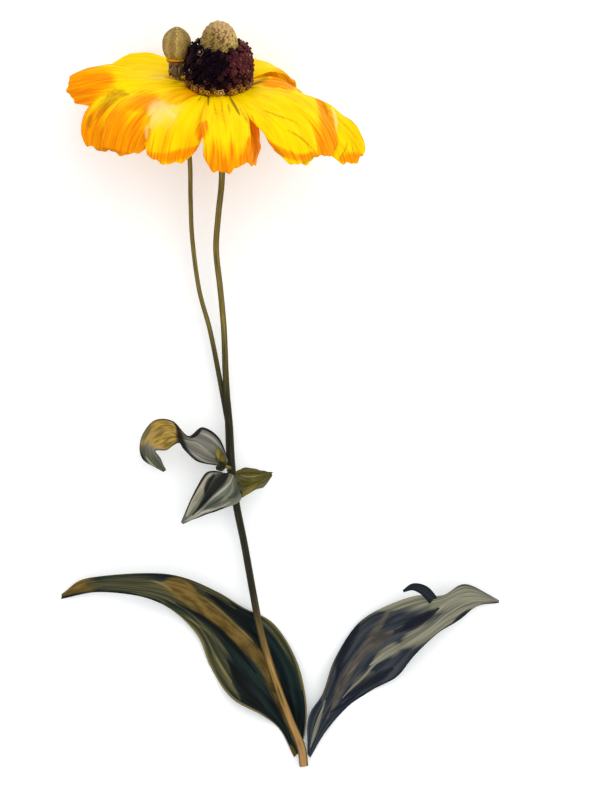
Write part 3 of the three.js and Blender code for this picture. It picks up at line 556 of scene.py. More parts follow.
def bract_ring(shape, head, cup, count, length, half, root, rise, droop, brown=0.0):
    """A ring of bracts on a turned cup. Tint: red is the pale margin, and green turns them brown."""
    for k in range(count):
        bract = dict(azimuth=k * 360 / count + 7, length=length, half=half, rise=rise, droop=droop, delay=1.3,
                     bend=0, twist=0, cup=-0.5, lift=cup[1][1] + 0.5, base=0.26, taper=0.7, skew=0)
        points, u, v = ray_grid(head, bract, root, rows=16, columns=9, fine=False)
        tints = np.full(u.shape + (4,), brown)
        tints[..., 0] = 0.5 * smooth(np.abs(v), 0.7, 1.0) + 0.4 * smooth(u, 0.8, 1.0)
        places = np.stack([u * length + 20 * k, v * half], -1)
        blade(shape, head.world(points), PETAL, places, tints, tints)
    turned(shape, head, cup, 48, (0.2, brown, 0, 1))


BLOOM_CUP = [(7.3, -3.1), (9.2, -2.9), (9.8, -1.95), (7.3, -1.95)]
bracts = Shape()
bract_ring(bracts, bloom, BLOOM_CUP, count=10, length=11, half=2.1, root=8.2, rise=-28, droop=-76)
bracts.piece("bloom_bracts_fine", bract_skin, "bract", "bloom_bracts")

# The disc florets are hundreds of tiny dark tubes with five curled lobes and a forked style, packed over the
# cone in spirals. They open from the foot of the cone upwards.
GOLDEN_ANGLE = math.radians(137.508)
SEED = 4
chance = np.random.default_rng(SEED)


def lathe_form(profile, sides, lobes, lobe_depth, shades):
    """A small turned form about z, pinched into lobes towards its last rings. Points, faces and shades."""
    angle = np.linspace(0, 2 * np.pi, sides, endpoint=False)
    points = []
    for r, h, pinch in profile:
        wave = 1 + lobe_depth * pinch * np.cos(lobes * angle)
        points.append(np.stack([r * wave * np.cos(angle), r * wave * np.sin(angle), h + 0 * angle], -1))
    last = (len(profile) - 1) * sides
    faces = grid_faces(len(profile), sides, wrap=True)
    faces += [[k for k in range(sides)][::-1], [last + k for k in range(sides)]]
    return np.array(points).reshape(-1, 3), faces, np.repeat(shades, sides)


def stamp(shape, head, form, origins, outward, sizes, tints, spin=0.0, squeeze=(1, 1, 1)):
    """Copies of a small form at origins in a head's frame, each along its own outward direction."""
    template, faces, shade = form
    z = unit(outward)
    y = unit(np.array([0, 0, 1.0]) - z * z[:, 2:3])
    x = np.cross(y, z)
    for n in range(len(origins)):
        c, s = math.cos(spin * n), math.sin(spin * n)
        wide, deep, tall = (template * squeeze).T
        local = np.stack([wide * c - deep * s, wide * s + deep * c, tall], -1)
        points = origins[n] + sizes[n] * (local @ np.array([x[n], y[n], z[n]]))
        tint = np.tile(tints[n], (len(points), 1))
        tint[:, 3] = shade
        shape.add(head.world(points), local[:, :2] + 7 * n, tint, faces)


def spiral(profile, count, level, jitter):
    """Places in a loose spiral over a turned surface, spread evenly by its area, and outward directions. The
    profile is pairs of radius and height, and level turns the directions up towards the axis."""
    r, h = np.array(profile).T
    run, climb = np.diff(r), np.diff(h)
    area = np.concatenate([[0], np.cumsum(np.hypot(run, climb) * (r[1:] + r[:-1]) / 2)])
    even = (np.arange(count) + 0.5 + jitter * chance.uniform(-8, 8, count)) / count * area[-1]
    even = np.clip(even, 0, area[-1])
    radius, height = np.interp(even, area, r), np.interp(even, area, h)
    angle = np.arange(count) * GOLDEN_ANGLE + jitter * chance.uniform(-1, 1, count) / np.maximum(radius, 1)
    lean = np.interp(even, (area[1:] + area[:-1]) / 2, np.arctan2(-run, climb)) * (1 - level) + level
    origins = np.stack([radius * np.cos(angle), radius * np.sin(angle), height], -1)
    outward = np.stack([np.cos(lean) * np.cos(angle), np.cos(lean) * np.sin(angle), np.sin(lean)], -1)
    return origins, outward


# Tint: red is plum, painted light on the right side of the cone and a random tone on a few florets elsewhere,
# green is a pink highlight, blue is near black, and alpha is the way up one floret.
skin = Skin("disc_skin", 0.05)
tree = skin.tree
grain = streaks(tree, 1.5, 1.5)
colour = blend(tree, skin.red, (0.004, 0.0013, 0.005), (0.095, 0.02, 0.022))
colour = blend(tree, skin.blue, colour, (0.01, 0.002, 0.004))
edge = blend(tree, skin.red, (0.012, 0.003, 0.008), (0.16, 0.042, 0.04))
edge = blend(tree, skin.green, edge, (0.5, 0.28, 0.24))
colour = blend(tree, steps(tree, skin.alpha, 0.55, 1.0, 0.7), colour, edge)
disc_skin = skin.finish(colour, grain, 0.0002, 0.5, 0.6, 0.85)


def cone_radius(h):
    return 12.5 * math.sqrt(max(1 - (abs(h - 7.5) / 12.6) ** 2.6, 0)) - 0.9


OPEN_PROFILE = [
    (0.45, -0.9, 0), (0.5, 0.3, 0), (0.62, 0.9, 0.2), (1.0, 1.25, 0.9), (1.12, 1.05, 1.0), (0.98, 1.35, 0.9),
    (0.5, 1.2, 0.3), (0.3, 1.0, 0), (0.28, 1.45, 0), (0.42, 1.65, 0), (0.2, 1.85, 0)]
OPEN_SHADES = [0, 0.1, 0.3, 0.6, 0.8, 0.75, 0.2, 0.0, 0.7, 1.0, 1.0]
open_floret = lathe_form(OPEN_PROFILE, sides=10, lobes=5, lobe_depth=0.2, shades=OPEN_SHADES)
florets = Shape()
profile = [(cone_radius(h), h) for h in np.linspace(1.4, 17, 60)]
count = 215
origins, outward = spiral(profile, count, level=0.3, jitter=0.6)
tints = np.zeros((count, 4))
# Painted light: the florets on the right side of the cone, where the light falls, are plum.
lit_right = smooth(origins[:, 0] + chance.uniform(-1.5, 1.5, count), 2.5, 6.5)
tints[:, 0] = np.clip(lit_right + 0.25 * (chance.uniform(0, 1, count) > 0.8), 0, 1)
tints[:, 1] = (chance.uniform(0, 1, count) > 0.92) * chance.uniform(0.3, 1, count)
tints[:, 2] = (origins[:, 2] < 9) * (chance.uniform(0, 1, count) > 0.75)
sizes = chance.uniform(1.0, 1.55, count)
stamp(florets, bloom, open_floret, origins, outward, sizes, tints, spin=0.7)
core = [(cone_radius(h) - 0.1, h) for h in np.linspace(0.95, 16.9, 24)] + [(7.6, 17.0)]
turned(florets, bloom, core, 60, (0.1, 0, 0, 0))
florets.piece("disc_florets", disc_skin, "disc_floret", "bloom_disc_florets")

# The buds are the florets that haven't opened yet, small closed knobs in the same spirals. They cover the tip
# of the cone, olive at its foot and tan towards the top, and painted light makes them tanner towards the
# right.
# Tint: red is tan, towards the top and, as painted light, towards the right; green is golden, blue is brown,
# and alpha is the way up one bud.
skin = Skin("bud_skin", 0.25)
tree = skin.tree
grain = streaks(tree, 0.9, 0.9, 4)
colour = blend(tree, steps(tree, grain, 0.4, 0.62), (0.34, 0.21, 0.05), (0.19, 0.105, 0.02))
colour = blend(tree, skin.red, colour, (0.6, 0.385, 0.17))
colour = blend(tree, skin.green, colour, (0.62, 0.48, 0.12))
colour = blend(tree, skin.blue, colour, (0.1, 0.055, 0.012))
colour = blend(tree, steps(tree, skin.alpha, 0.6, 0.1, 0.7), colour, (0.1, 0.06, 0.012))
bud_skin = skin.finish(colour, grain, 0.0002, 0.5, 0.45, 0.65)


def tip_radius(h):
    return 7.1 * math.sqrt(max(1 - (max(h - 15.4, 0) / 11.4) ** 2.3, 0))


CLOSED_PROFILE = [
    (0.5, -0.5, 0), (0.64, 0.1, 0), (0.66, 0.42, 0.2), (0.5, 0.72, 0.7), (0.22, 0.84, 1.0), (0.08, 0.72, 0)]
CLOSED_SHADES = [0, 0.2, 0.6, 1.0, 0.9, 0.3]
closed_floret = lathe_form(CLOSED_PROFILE, sides=10, lobes=5, lobe_depth=0.25, shades=CLOSED_SHADES)
buds = Shape()
profile = [(tip_radius(h), h) for h in np.linspace(16.6, 26.4, 60)] + [(0.2, 26.55)]
count = 330
origins, outward = spiral(profile, count, level=0.05, jitter=0.45)
tints = np.zeros((count, 4))
# Painted light: the buds grow tanner towards the right side, where the light falls.
right = origins[:, 0] / 7
climbed = (origins[:, 2] - 16.6) / 9.9
tints[:, 0] = np.clip(smooth(0.6 * right + climbed, 0.35, 1.1) + chance.uniform(-0.2, 0.25, count), 0, 1)
tints[:, 1] = smooth(right - climbed, -0.3, 0.5) * 0.7 + 0.8 * (climbed < 0.06)
tints[:, 1] = np.clip(tints[:, 1] + chance.uniform(-0.25, 0.25, count), 0, 1)
tints[:, 2] = (chance.uniform(0, 1, count) > 0.84 + 0.14 * climbed) * chance.uniform(0.4, 1, count)
sizes = chance.uniform(0.85, 1.2, count)
stamp(buds, bloom, closed_floret, origins - outward * 0.3, outward, sizes, tints, spin=0.9)
core = [(max(tip_radius(h) - 0.15, 0.3), h) for h in np.linspace(16.3, 26.4, 18)]
turned(buds, bloom, core, 48, (0.1, 0, 0.3, 0.3))
buds.piece("disc_buds", bud_skin, "disc_bud", "bloom_disc_buds")

# The outer florets are the oldest ones, a fringe of short withered brown tubes that stand out between the
# foot of the cone and the roots of the rays.
# Tint: red is golden, green is pale, and alpha is the way up one floret.
skin = Skin("withered_skin", 0.25)
tree = skin.tree
grain = streaks(tree, 1.4, 1.4)
colour = blend(tree, skin.red, (0.16, 0.045, 0.008), (0.55, 0.28, 0.012))
colour = blend(tree, skin.green, colour, (0.7, 0.5, 0.3))
colour = blend(tree, steps(tree, skin.alpha, 0.15, 0.75), (0.045, 0.016, 0.008), colour)
withered_skin = skin.finish(colour, grain, 0.0002, 0.5, 0.5, 0.7)
FRINGE_ROWS = ((30, 11.9, 1.9, -0.05), (28, 11.4, 3.0, 0.4))  # count, radius, height and slant of each
fringe = Shape()
for row, (count, reach, height, lift) in enumerate(FRINGE_ROWS):
    angle = (np.arange(count) + 0.5 * row) * 2 * np.pi / count + chance.uniform(-0.07, 0.07, count)
    origins = np.stack([reach * np.cos(angle), reach * np.sin(angle), height + 0 * angle], -1)
    slant = lift + chance.uniform(-0.2, 0.3, count)
    outward = np.stack([np.cos(angle) * np.cos(slant), np.sin(angle) * np.cos(slant), np.sin(slant)], -1)
    tints = np.zeros((count, 4))
    golden = 1.1 - 0.8 * np.abs(np.cos(angle)) + chance.uniform(-0.4, 0.3, count)
    tints[:, 0] = np.clip(golden, 0, 1) * (1 - 0.75 * row)
    tints[:, 1] = (chance.uniform(0, 1, count) > 0.85) * 0.3 * (1 - row)
    sizes = chance.uniform(1.05, 1.4, count)
    stamp(fringe, bloom, open_floret, origins, outward, sizes, tints, spin=0.7)
FRINGE_CORE = [(11.2, 1.6), (12.2, 2.1), (12.1, 3.1), (11.2, 3.5)]
turned(fringe, bloom, FRINGE_CORE, 60, (0.1, 0, 0, 0.5))
fringe.piece("outer_florets", withered_skin, "outer_floret", "bloom_outer_florets")

# The young head is a bud that is about to open: an olive cone of closed florets in upright rows, with three
# rays still short and bent back, and a ring of small bracts under them.
cone = Shape()


def young_radius(h):
    power, root = (2.6, 0.5) if h < 5.4 else (2.4, 0.75)
    return 5.9 * max(1 - (abs(h - 5.4) / 7.1) ** power, 0) ** root - 0.3


COUNT_ROUND = 26
ROWS_UP = 14
for row in range(ROWS_UP):
    h = 0.8 + (11.9 - 0.8) * row / (ROWS_UP - 1)
    angle = np.arange(COUNT_ROUND) + 0.5 * (row % 2) + chance.uniform(-0.15, 0.15, COUNT_ROUND)
    angle = angle * 2 * np.pi / COUNT_ROUND
    r = max(young_radius(h) - 0.2, 0.3)
    slope = math.atan((young_radius(h - 0.2) - young_radius(h + 0.2)) / 0.4)
    origins = np.stack([r * np.cos(angle), r * np.sin(angle), h + 0 * angle], -1)
    outward = np.stack([math.cos(slope) * np.cos(angle), math.cos(slope) * np.sin(angle),
                        math.sin(slope) + 0 * angle], -1)
    tints = np.zeros((COUNT_ROUND, 4))
    # Painted highlight: a pale golden line down the middle of the side that faces up.
    pale = np.exp(-(np.cos(angle) / 0.12) ** 2) * (np.sin(angle) < 0)
    tints[:, 0] = chance.uniform(0, 0.2, COUNT_ROUND)
    patchy = 0.2 * np.sin(5 * angle + 1) + chance.uniform(-0.1, 0.2, COUNT_ROUND)
    tints[:, 1] = np.clip(0.7 * pale + patchy, 0, 1)
    tints[:, 2] = 0.2 * smooth(np.sin(7 * angle + 2), 0.5, 1.0)
    sizes = np.full(COUNT_ROUND, 0.5 + 0.42 * r / 5.3)
    stamp(cone, young, closed_floret, origins, outward, sizes, tints, squeeze=(0.95, 1.5, 0.5))
core = [(max(young_radius(h) - 0.05, 0.3), h) for h in np.linspace(0.35, 12.2, 24)]
turned(cone, young, core, 48, (0.1, 0.1, 0, 0.4))
cone.piece("young_cone", bud_skin, "disc_bud", "young_disc_buds")

short_rays = Shape()
for k in range(3):
    ray = dict(azimuth=50 + 35 * k, length=4.4, half=1.7, rise=-20, droop=-70, delay=1.3, bend=0, twist=0,
               cup=-0.4, lift=-0.5, base=0.4, taper=0.34, skew=0)
    points, u, v = ray_grid(young, ray, root=3.2, rows=16, columns=11, fine=False)
    places = np.stack([u * ray["length"] + 20 * k, v * ray["half"]], -1)
    tints = np.zeros(u.shape + (4,))
    tints[..., 0] = 0.5 * smooth(u, 0.5, 1.0)
    blade(short_rays, young.world(points), PETAL, places, tints, tints)
YOUNG_COLLAR = [(0, -1.15), (3.8, -1.15), (4.15, -0.6), (3.85, 0), (0, 0)]
turned(short_rays, young, YOUNG_COLLAR, 48, (0.6, 0, 0.9, 0))
short_rays.piece("young_ray_florets", ray_skin, "ray", "young_rays")

YOUNG_CUP = [(2.5, -2.85), (3.1, -2.7), (3.5, -1.55), (2.5, -1.55)]
young_ring = Shape()
bract_ring(
    young_ring, young, YOUNG_CUP, count=6, length=5.6, half=1.7, root=2.9, rise=-84, droop=-106, brown=1.0)
young_ring.piece("young_bracts_fine", bract_skin, "bract", "young_bracts")

# The basal leaves are long glossy blades that narrow into the foot of the stem. Each is folded a little along
# its midrib, with long veins beside it, wavy margins, and a tip that bends down.
LEAF = 0.5  # the thickness of a blade
LEAF_REST = 0.33  # the height of a blade's middle where it lies on the surface
BASAL_GRID = dict(rows=230, columns=61, arch=0.06, wave=0.7, veins=0.16)
BASAL_LEFT = dict(
    midrib=[(6.3, -143.4, 0.5), (3.6, -132, 0.6), (-1, -119.4, 1.2), (-6.8, -107.4, 1.8), (-15.6, -96.2, 3),
            (-27.2, -85.8, 6.6), (-39.4, -79, 10.6), (-53, -75.8, 11.8), (-73, -75.2, 6.6),
            (-87.5, -79.9, 0.6)],
    left=[(5.4, -144.2, 0.5), (0, -133.6, 1.2), (-7.2, -127.6, 3.6), (-19.6, -120.6, 4.4), (-28, -108.2, 0.8),
          (-33.4, -95.4, 2.2), (-44.6, -84.6, 6.4), (-56.2, -79.8, 8.8), (-74.2, -78.4, 4.8),
          (-87.8, -80.9, 0.5)],
    right=[(7, -142.6, 0.6), (9.8, -134.4, 1.4), (10.2, -121, 4), (6.2, -105, 3), (-2.6, -91, 1),
           (-14.6, -84.4, 1.9), (-26.2, -77.6, 7.2), (-46.2, -70.8, 11), (-76.2, -72.4, 6.4),
           (-87.6, -79, 0.7)])
BASAL_RIGHT = dict(
    midrib=[(11.4, -143.8, 1.6), (15.4, -133, 2.3), (20.6, -122.4, 4.2), (26.6, -112.4, 7.4),
            (36, -101.6, 10.4), (48.4, -95, 12.2), (59, -89.6, 12.2), (67, -83.2, 10),
            (76.6, -80.2, 5.8), (87.4, -82, 0.7)],
    left=[(10.8, -142.8, 2), (11.2, -129, 4.4), (16.6, -118.8, 6.2), (21.4, -105.6, 5.4), (30.4, -91.4, 2.8),
          (42, -83.8, 5.6), (54, -79.6, 10.6), (64.8, -79.2, 12.6), (74.6, -75.2, 9.2), (87.4, -81.5, 0.8)],
    right=[(12, -144.4, 1.3), (18.6, -133, 1.8), (27, -124.4, 0.8), (36.2, -117.4, 0.4), (46, -112.4, 4.4),
           (53, -104.2, 9.2), (61.2, -96, 9.6), (69.4, -90.6, 6.2), (77.6, -84.4, 3.6), (87.4, -82.5, 0.6)])
BASAL_RIGHT_FLAP = dict(
    midrib=[(61.2, -81, 12.3), (58.4, -78.6, 15.6), (55.6, -76.4, 17.2), (52.4, -76, 17), (49, -77.8, 15.4)],
    left=[(59.6, -82.8, 12), (57, -79.8, 14.8), (54.8, -78.2, 16.2), (52.4, -77.4, 15.8),
          (49.2, -78.2, 15.1)],
    right=[(63, -80.8, 12.2), (59.6, -76.6, 16), (56, -74.8, 17.6), (52.2, -74.8, 17.6), (48.8, -77.4, 15.7)])


def leaf_grid(leaf, rows, columns, arch, wave, veins):
    """The middle surface of a leaf from its midrib and margins: u from root to tip, v across, left is -1."""
    u, v = np.meshgrid(np.linspace(0, 1, rows), np.linspace(1, -1, columns), indexing="ij")
    along = u[:, 0]
    midrib, left, right = (curve(leaf[name], along) for name in ("midrib", "left", "right"))
    normal = unit(np.cross(np.gradient(midrib, axis=0), left - right))[:, None]
    out = np.abs(v)
    margin = np.where(v[..., None] < 0, left[:, None], right[:, None])
    width = np.linalg.norm(margin - midrib[:, None], axis=-1)
    drop = arch * width * 4 * out * (1 - out) + wave * smooth(width, 0, 4) * out**2 * np.sin(u * 26 + v * 2)
    groove = 0.42 * np.exp(-((out * width / 0.55) ** 2))
    for place in (0.36, 0.66):
        groove = groove + veins * np.exp(-(((out - place) / 0.045) ** 2)) * np.sin(np.pi * u) ** 0.6
    ripple = veins * 0.6 * np.sin(u * 70 + 3 * v) * np.sin(7 * out) * smooth(width, 1, 6)
    points = midrib[:, None] + (margin - midrib[:, None]) * out[..., None]
    points = points - normal * (drop + (groove + ripple) * smooth(width, 0.5, 3))[..., None]
    points[..., 2] = np.maximum(points[..., 2], LEAF_REST)
    return points, u, v


def leaf_skin(name, ground, first, second, pale, painted_shade, specular=0.12):
    """A leaf's finish from pairs of colours. Tint: red and green bring in the first and the second pair, blue
    the pale veins and margins, and alpha the painted shade in creases, folds and along margins."""
    skin = Skin(name, specular)
    tree = skin.tree
    fine = streaks(tree, 0.035, 0.9, 4)
    broad = streaks(tree, 0.03, 0.32, 2)
    blots = streaks(tree, 0.14, 0.45, 5)
    colour = blend(tree, steps(tree, broad, 0.4, 0.66), *ground)
    mottled = blend(tree, steps(tree, blots, 0.35, 0.65), *first)
    colour = blend(tree, ragged(tree, skin.red, fine, 1.0, 0.6, 1.5), colour, mottled)
    lined = blend(tree, steps(tree, fine, 0.4, 0.64), *second)
    colour = blend(tree, ragged(tree, skin.green, fine, 1.0, 0.6, 1.6), colour, lined)
    colour = blend(tree, steps(tree, fine, 0.6, 0.78, 0.4), colour, pale)
    colour = blend(tree, ragged(tree, skin.blue, fine, 0.95), colour, pale)
    # Painted shade where alpha is high.
    colour = blend(tree, ragged(tree, skin.alpha, fine, 0.95), colour, painted_shade)
    return skin.finish(colour, fine, 0.0003, 0.55, 0.42, 0.62)


def leaf_blade(shape, leaf, grid, strokes, margins):
    """One leaf blade. strokes are those of its four tints, and margins adds to each of them from u and v."""
    points, u, v = grid
    run = np.linalg.norm(np.diff(np.array(leaf["midrib"]), axis=0), axis=1).sum()
    tints = [np.clip(np.maximum(most * stroke(points, lines), edge), 0, 1)
             for most, lines, edge in zip((1, 1, 0.7, 1), strokes, margins(u, v))]
    tints = np.stack(tints, -1)
    blade(shape, points, LEAF, np.stack([u * run, v * 12], -1), tints, tints)


LEFT_STROKES = (  # for its ochre band and tip, olive parts, pale lines and painted shade
    ([(7.4, -142.2, 0.8), (3.8, -133.4, 1.2), (-2.2, -117.4, 2), (-6.6, -107, 2.4),
      (-12.2, -100.6, 2.8), (-20.6, -92.2, 3.2), (-29, -85.4, 3.6), (-37, -79.8, 4),
      (-43.4, -77, 3.6), (-52.2, -75.8, 2), (-60.2, -75.4, 1.2)],
     [(-48.2, -75, 1.2), (-41, -74.6, 2.4), (-34.2, -77.4, 2)],
     [(-89, -79.8, 1.6), (-84.2, -77, 2.4), (-78.6, -75.4, 3.2), (-71.4, -75.4, 2)],
     [(3.8, -139.4, 0.8), (6.6, -144.6, 0.8)]),
    ([(-77, -75, 2.8), (-66.2, -75, 3.6), (-56.2, -75.8, 4), (-48.2, -78.2, 3.6),
      (-39.4, -83, 1.6)],
     [(-47.4, -82.2, 1.6), (-40.2, -87.8, 2.8), (-33, -93.4, 4), (-27.4, -99.8, 4.4),
      (-24.2, -107, 4), (-21, -114.2, 2.8), (-16.2, -121.4, 1.2)],
     [(-10.2, -88.2, 1.2), (-3.4, -92.2, 2.2), (1.8, -99.4, 1.6), (6.2, -107, 1.2), (8.6, -117.4, 0.8)],
     [(-36.2, -73.4, 1.2), (-27.4, -78.2, 1.6), (-18.2, -84.6, 1.2)]),
    ([(-30.6, -103.4, 0.5), (-27.8, -110.2, 0.6), (-24.2, -115.8, 0.6), (-18.6, -121.4, 0.5)],
     [(-26.6, -102.2, 0.4), (-23.4, -108.6, 0.5), (-19.4, -114.2, 0.4)],
     [(-39.4, -87, 0.4), (-33.8, -90.6, 0.5), (-28.2, -95, 0.4)],
     [(-41, -89.4, 0.4), (-35.4, -94.2, 0.5), (-30.6, -99, 0.4)],
     [(-52.2, -73.4, 0.4), (-47.4, -75, 0.5), (-43.4, -77.4, 0.4)],
     [(-31, -80.2, 0.4), (-23.4, -86.2, 0.5), (-16.2, -93, 0.5), (-9.4, -99.4, 0.4)]),
    ([(-88.2, -80.6, 0.6), (-80.2, -79.4, 0.9), (-72.2, -78.6, 1), (-64.2, -78.6, 1),
      (-56.2, -80.2, 1), (-48.2, -82.6, 0.9)],
     [(-41.8, -82.2, 0.6), (-35.4, -85.8, 0.8), (-29, -89.8, 1.2), (-22.6, -95.4, 1.2),
      (-16.2, -102.2, 1.2), (-9.8, -110.6, 1)],
     [(-21, -105.4, 1.2), (-16.2, -113.4, 2.8), (-11.4, -120.6, 2.8), (-5.8, -126.2, 1.6)],
     [(-29.8, -78.2, 0.8), (-25.8, -81, 1.2), (-21, -85.4, 2), (-15.4, -90.2, 2.4),
      (-9.8, -95.8, 2.4)], [(-2.2, -110.2, 1.2), (0.6, -118.2, 2), (4.2, -128.6, 1.6), (7, -135.4, 1.2)]))


def left_margins(u, v):
    """Pale margins, with painted shade along the one below the outer part."""
    rim = smooth(np.abs(v), 0.9, 0.99) * (1 - smooth(u, 0.6, 0.7) * (v < 0))
    below = 0.9 * smooth(-v, 0.86, 1.0) * smooth(u, 0.62, 0.7)
    return 0, 0, rim * (0.8 - 0.4 * smooth(u, 0.6, 0.7)), below


basal_left_skin = leaf_skin(
    "basal_leaf_left_skin", ((0.0012, 0.006, 0.008), (0.008, 0.022, 0.018)),
    ((0.085, 0.052, 0.009), (0.19, 0.122, 0.026)), ((0.03, 0.032, 0.012), (0.1, 0.095, 0.045)),
    (0.22, 0.18, 0.07), (0.0005, 0.0012, 0.0016), 0.1)
left_leaf = Shape()
leaf_blade(left_leaf, BASAL_LEFT, leaf_grid(BASAL_LEFT, **BASAL_GRID), LEFT_STROKES, left_margins)
left_leaf.piece("leaf_basal_left", basal_left_skin, "basal_leaf", "basal_leaf_left")

RIGHT_STROKES = (  # for its brown veins, sage parts, pale lines and painted shade
    ([(43, -86.2, 2.4), (39, -92.6, 2), (34.2, -99.8, 1.8), (29, -107.4, 1.6), (24.6, -115.4, 1.6),
      (21.4, -123.4, 1.4), (18.6, -128.6, 0.8)],
     [(23.8, -98.2, 0.8), (20.6, -105.4, 1.2), (18.6, -113.4, 1.2), (16.6, -121.4, 1.2)],
     [(34.2, -102.2, 2), (39, -97.4, 2.8), (44.6, -94.2, 2)],
     [(27.8, -117.4, 1.6), (32.6, -112.6, 1.6), (37.4, -110.2, 1.6)]),
    ([(32.6, -87, 1.2), (39.8, -85, 1.2), (45.4, -83.4, 2), (51, -81.4, 4), (57.4, -81.8, 4.4),
      (60.6, -83, 3.2)],
     [(52.6, -79.8, 3.6), (59.8, -82.2, 3.6), (66.2, -82.6, 4.8), (71, -80.2, 5.2), (75.8, -79.8, 4.4),
      (81.4, -80.6, 2.8), (87, -81.4, 1.6)],
     [(47.8, -99.8, 3.2), (52.6, -97, 3.6), (59.8, -93.4, 3.6), (65.8, -89.8, 3.6), (71.8, -85.8, 2.8),
      (79.8, -83, 1.6)], [(35.8, -107, 0.8), (41.8, -102.6, 2), (47.8, -99.4, 3.2)],
     [(11.8, -140.2, 0.5), (14.6, -131.4, 0.7), (17.8, -121.4, 0.5)]),
    ([(49.4, -95, 0.5), (55, -92.6, 0.6), (59.8, -88.6, 0.5), (63.8, -84.6, 0.5), (68.6, -81.4, 0.5),
      (75, -80.2, 0.5), (81.8, -81, 0.4)],
     [(43, -103.4, 0.5), (37.4, -107, 0.7), (33.4, -111.8, 0.6), (28.6, -116.2, 0.6),
      (24.6, -120.6, 0.5)]),
    ([(32.6, -87.8, 1.6), (27.8, -96.6, 2.4), (24.2, -104.6, 2), (22.2, -113.4, 1.2)],
     [(47.8, -94.2, 0.8), (52.6, -91, 2.4), (58.2, -88.2, 2), (63, -84.6, 1.2)],
     [(24.6, -121.4, 0.8), (31, -116.6, 1.6), (38.2, -112.6, 2.4), (44.6, -108.6, 2)],
     [(19.8, -126.2, 0.8), (25.8, -122.6, 0.6), (31.8, -118.2, 0.6)],
     [(55.8, -100.6, 0.6), (62.2, -97, 0.8), (67.4, -93, 0.8), (71.4, -88.2, 0.8), (76.2, -85.4, 0.7),
      (82.2, -83.8, 0.6), (86.6, -82.2, 0.5)]))


def right_margins(u, v):
    """A grey upper margin, and painted black shade along the lower one."""
    above = 0.6 * smooth(-v, 0.86, 0.97) * smooth(u, 0.2, 0.4)
    below = 0.9 * smooth(v, 0.88, 0.98) * smooth(u, 0.1, 0.2)
    return 0, above, 0, below


def flap_margins(u, v):
    """Painted shade all over, darkest at its margins."""
    return 0, 0, 0, 0.55 + 0.3 * np.abs(v)


basal_right_skin = leaf_skin(
    "basal_leaf_right_skin", ((0.011, 0.016, 0.026), (0.045, 0.052, 0.062)),
    ((0.045, 0.042, 0.038), (0.1, 0.085, 0.068)), ((0.17, 0.17, 0.12), (0.28, 0.27, 0.19)),
    (0.27, 0.26, 0.2), (0.005, 0.007, 0.014), 0.1)
right_leaf = Shape()
leaf_blade(right_leaf, BASAL_RIGHT, leaf_grid(BASAL_RIGHT, **BASAL_GRID), RIGHT_STROKES, right_margins)
flap = leaf_grid(BASAL_RIGHT_FLAP, rows=30, columns=13, arch=0.1, wave=0, veins=0.0)
leaf_blade(right_leaf, BASAL_RIGHT_FLAP, flap, ((), (), (), ()), flap_margins)
right_leaf.piece("leaf_basal_right", basal_right_skin, "basal_leaf", "basal_leaf_right")

# The stem leaves sit at the node without a stalk: one that rolls over so that its ochre underside shows, one
# folded along its midrib that points down, and a small olive one.
CURLED = dict(
    midrib=[(-21.6, -26.8, 7.4), (-27.4, -23.4, 9.4), (-33.4, -19.4, 12.2), (-38.8, -16.6, 15.4),
            (-43.4, -13.8, 18.4), (-48.8, -14.6, 18.6), (-52.6, -19, 15.6), (-51.6, -25.2, 11.6),
            (-46.2, -29.8, 8.4)],
    left=[(-22, -27.8, 7), (-27.6, -27.4, 7.6), (-33.4, -25.8, 9.6), (-38, -21.8, 13.6), (-40.6, -18.6, 17.6),
          (-45.6, -21.4, 18.4), (-49.8, -21.8, 16), (-47.8, -25.2, 11.2), (-45.7, -29.4, 8.6)],
    right=[(-20.8, -25.4, 7.6), (-24.6, -16.4, 11.4), (-31.2, -12.4, 14.6), (-36.8, -15.8, 16.6),
           (-42.8, -9.8, 17.2), (-50.4, -9.6, 14.6), (-55.6, -16.2, 11.4), (-55, -25, 8.4),
           (-46.8, -30.2, 8)])
FRONT = dict(
    midrib=[(-20, -30.8, 8.6), (-23.4, -35.4, 11.2), (-28.2, -40.2, 12.2), (-33.8, -45.8, 10.4),
            (-39.4, -50.6, 6.8)],
    left=[(-18.8, -31.4, 8.6), (-15.8, -41, 13.2), (-24.6, -45.4, 13.8), (-33, -48.4, 10.4),
          (-38.9, -51, 6.6)],
    right=[(-21.4, -30.6, 8.8), (-29, -30, 14.4), (-33.6, -36.6, 15.6), (-36.6, -42.8, 12.6),
           (-39.8, -50.2, 6.8)])
SMALL = dict(
    midrib=[(-18.4, -31.4, 7.7), (-14.8, -33.6, 9.9), (-11.4, -34, 12), (-7.4, -32.8, 12),
            (-3.4, -30.8, 10.2)],
    left=[(-17.8, -29.9, 8), (-14.2, -28.4, 9.6), (-10, -28.9, 10.4), (-6.2, -29.8, 10.2), (-3, -30.2, 9.9)],
    right=[(-18.9, -33.2, 7.4), (-17, -40.8, 8.8), (-11.2, -37.8, 13.6), (-6.4, -35.8, 14),
           (-3.2, -31.6, 10.6)])

